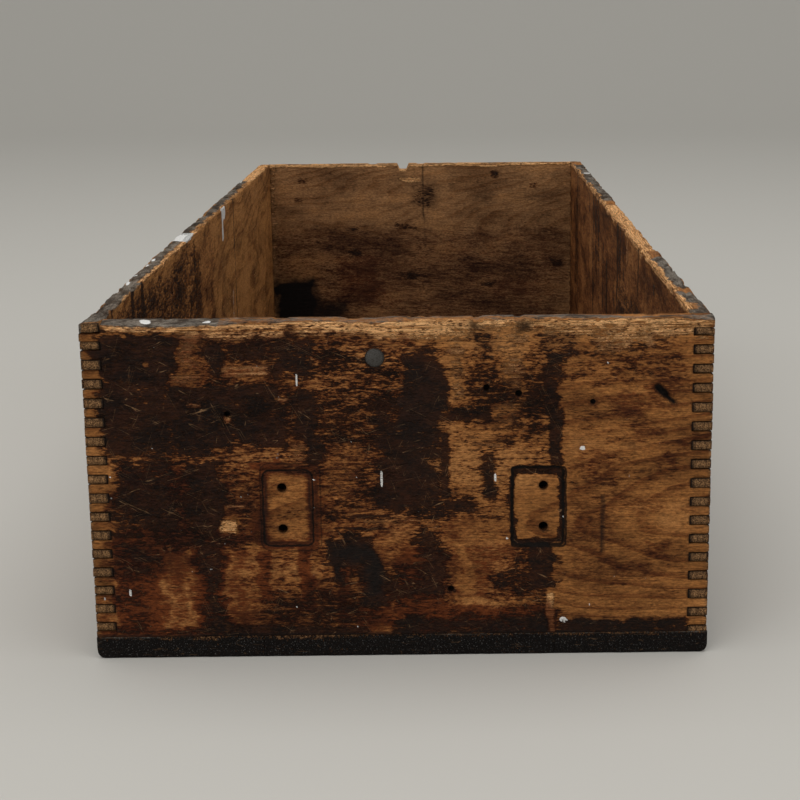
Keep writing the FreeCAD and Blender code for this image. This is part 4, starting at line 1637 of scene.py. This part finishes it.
    def right_side(self) -> WallBoard:
        """The right-hand long side.

        Returns:
            The board.
        """
        inside = Face.INSIDE
        dark = patches([
            (714, 100, 7, 140, 0.9), (556, 100, 7, 140, 0.8), (363, 100, 8, 140, 0.9),
            (158, 157, 7, 7, 1.0), (200, 80, 300, 100, 0.5),
        ], face=inside)
        dark += strewn(41, 22, (300, 800, 30, 170), (4, 9), 7.0, (0.5, 0.75), face=inside)
        dark += self.side_film(40)
        red = patches([(406, 90, 812, 160, 0.5)], face=inside) + patches([(406, 90, 812, 160, 0.5)])
        red += self.side_runs(40)
        raw = patches([(345, 5, 235, 12, 0.95), (110, 9, 220, 4, 0.9), (620, 9, 300, 4, 0.7)], face=Face.RIM)
        raw += patches([(303, 158, 9, 18, 0.7), (406, 170, 812, 4, 0.8)], face=inside)
        raw += patches([(406, 168, 800, 7, 0.8)])
        raw += patches([(200, 90, 90, 70, 0.4), (560, 100, 120, 70, 0.4)], soft=20)
        grey = patches([
            (10, 5, 20, 11, 0.9), (56, 4, 36, 9, 1.0), (140, 4, 110, 8, 1.0), (635, 4, 300, 9, 0.95),
            (20, 3, 40, 6, 0.8),
        ], face=Face.RIM)
        white = patches([(697, 4, 8, 5, 1.0)], face=Face.RIM) + self.side_spatter(40, 22)
        soot = patches([(238, 160, 4, 44, 1.0), (60, 60, 120, 90, 0.35)], face=inside)
        pine = OldPine(
            "right_pine", Axis.Y, pith=(225.0, 95.0), lean=(-0.04, 0.02), early="9c683a", late="6a3e1d"
        )
        return WallBoard(
            "right_side_panel", Axis.Y, 1, 1, pine, 14, (15, 31), 1,
            layers={
                Layer.FILM: dark, Layer.VARNISH: red, Layer.RAW: raw, Layer.GREY: grey,
                Layer.WHITE: white, Layer.SOOT: soot,
            },
            dents=self.side_dents(40),
            rim_wear=(
                (0, 0.9, 0.5), (215, 0.6, 0.5), (232, 1.8, 1.6), (460, 1.6, 1.4), (480, 0.6, 0.6),
                (812, 1.0, 0.8),
            ),
            rim_dips=((226, 12, 2.4), (470, 10, 1.0), (100, 8, 0.8)), torn=1.4,
        )

    def floor(self) -> list[FloorBoard]:
        """The four floor boards.

        Returns:
            The boards, from the left.
        """
        boards = []
        places = (("left_outer", -1), ("left_inner", 0), ("right_inner", 0), ("right_outer", 1))
        for i, (name, outer) in enumerate(places):
            pine = OldPine(
                f"floor_pine_{name}", Axis.Y, pith=(30.0 * i - 40.0, -60.0), lean=(0.02, 0.04),
                early="754d2b", late="50311a", grime=0.75, sand_and_glint_amount=0.6, tar=("030303", "070707", "121212"),
            )
            boards.append(FloorBoard(f"floor_board_{name}", pine, 60 + 3 * i, outer))
        return boards


# ---- Studio --------------------------------------------------------------------------------


@dataclass
class Studio:
    """A pale floor, soft light and the camera, a little above the rim and square to the front."""

    place: tuple[float, float, float] = (0.0239, -1.1922, 0.3173)
    yaw: float = 0.423
    pitch: float = 13.335
    roll: float = -0.468
    lens: float = 75.3
    shift: float = -0.075

    def build(self) -> None:
        """Sets floor, lights, world and camera."""
        Bench.clear()
        bpy.ops.mesh.primitive_plane_add(size=14.0, location=(0, -1.0, 0))
        floor = bpy.context.object
        floor.name = "studio_floor"
        bpy.ops.object.transform_apply(location=True, rotation=True, scale=True)
        self.sweep(floor)
        floor.data.materials.append(PaleFloor().material())
        self.light("overhead_softbox", (0.0, -0.35, 2.2), (0, 0.1, 0), 2.6, 26.0)
        self.light("front_softbox", (-1.2, -2.6, 1.5), (0, 0, 0.1), 1.8, 16.0)
        world = bpy.data.worlds.new("studio_air")
        bpy.context.scene.world = world
        world.use_nodes = True
        back = world.node_tree.nodes["Background"]
        back.inputs["Color"].default_value = paint("e9e9e8")
        back.inputs["Strength"].default_value = 0.72
        bpy.context.scene.view_settings.view_transform = "Standard"
        self.camera()

    def sweep(self, floor: bpy.types.Object) -> None:
        """Carries the back edge of the floor up in one wide curve, as a paper sweep hangs.

        Args:
            floor: the floor.
        """
        bpy.ops.object.mode_set(mode="EDIT")
        bpy.ops.mesh.select_all(action="DESELECT")
        bpy.ops.mesh.select_mode(type="EDGE")
        mesh = bmesh.from_edit_mesh(floor.data)
        for e in mesh.edges:
            if min(v.co.y for v in e.verts) > 5.9:
                e.select_set(True)
        bmesh.update_edit_mesh(floor.data)
        bpy.ops.mesh.extrude_region_move(TRANSFORM_OT_translate={"value": (0, 0, 7.0)})
        bpy.ops.mesh.select_all(action="DESELECT")
        mesh = bmesh.from_edit_mesh(floor.data)
        for e in mesh.edges:
            if all(v.co.y > 5.9 and v.co.z < 0.01 for v in e.verts):
                e.select_set(True)
        bmesh.update_edit_mesh(floor.data)
        bpy.ops.mesh.bevel(offset=3.0, segments=24, affect="EDGES")
        bpy.ops.object.mode_set(mode="OBJECT")
        Bench.shade(floor, 60)

    def light(
        self, name: str, place: tuple[float, float, float], aim: tuple[float, float, float],
        size: float, power: float,
    ) -> None:
        """One square soft light.

        Args:
            name: the lamp's name.
            place: where it hangs.
            aim: the point it is turned to.
            size: its width, in metres.
            power: its power, in watts.
        """
        Bench.clear()
        bpy.ops.object.light_add(type="AREA", location=place)
        lamp = bpy.context.object
        lamp.name = name
        lamp.data.size = size
        lamp.data.energy = power
        lamp.rotation_euler = (Vector(aim) - Vector(place)).to_track_quat("-Z", "Y").to_euler()

    def camera(self) -> None:
        """The camera, turned by its three angles."""
        yaw, pitch, roll = (math.radians(a) for a in (self.yaw, self.pitch, self.roll))
        ahead = Vector((math.sin(yaw) * math.cos(pitch), math.cos(yaw) * math.cos(pitch), -math.sin(pitch)))
        right = Vector((math.cos(yaw), -math.sin(yaw), 0.0))
        up = right.cross(ahead)
        side = right * math.cos(roll) + up * math.sin(roll)
        top = -right * math.sin(roll) + up * math.cos(roll)
        data = bpy.data.cameras.new("studio_camera")
        data.lens = self.lens
        data.sensor_width = 36.0
        data.shift_x = self.shift
        data.clip_start = 0.05
        camera = bpy.data.objects.new("studio_camera", data)
        bpy.context.scene.collection.objects.link(camera)
        turn = Matrix((side, top, -ahead)).transposed().to_4x4()
        camera.matrix_world = Matrix.Translation(Vector(self.place)) @ turn
        bpy.context.scene.camera = camera


def main() -> None:
    """Builds the studio, the boards and the nails in order."""
    logging.basicConfig(level=logging.INFO, format="%(name)s: %(message)s")
    Studio().build()
    crate = Crate()
    boards = [
        crate.front(), crate.back(), crate.left_side(), crate.right_side(), *crate.floor(),
        BroadHeadNail(),
    ]
    for board in boards:
        obj = board.build()
        board.dress(obj)
        obj.data.calc_loop_triangles()
        log.info("%s: %d triangles", obj.name, len(obj.data.loop_triangles))
    FloorNails().dress()
    log.info("floor nails: rusted")


if __name__ == "__main__":
    main()
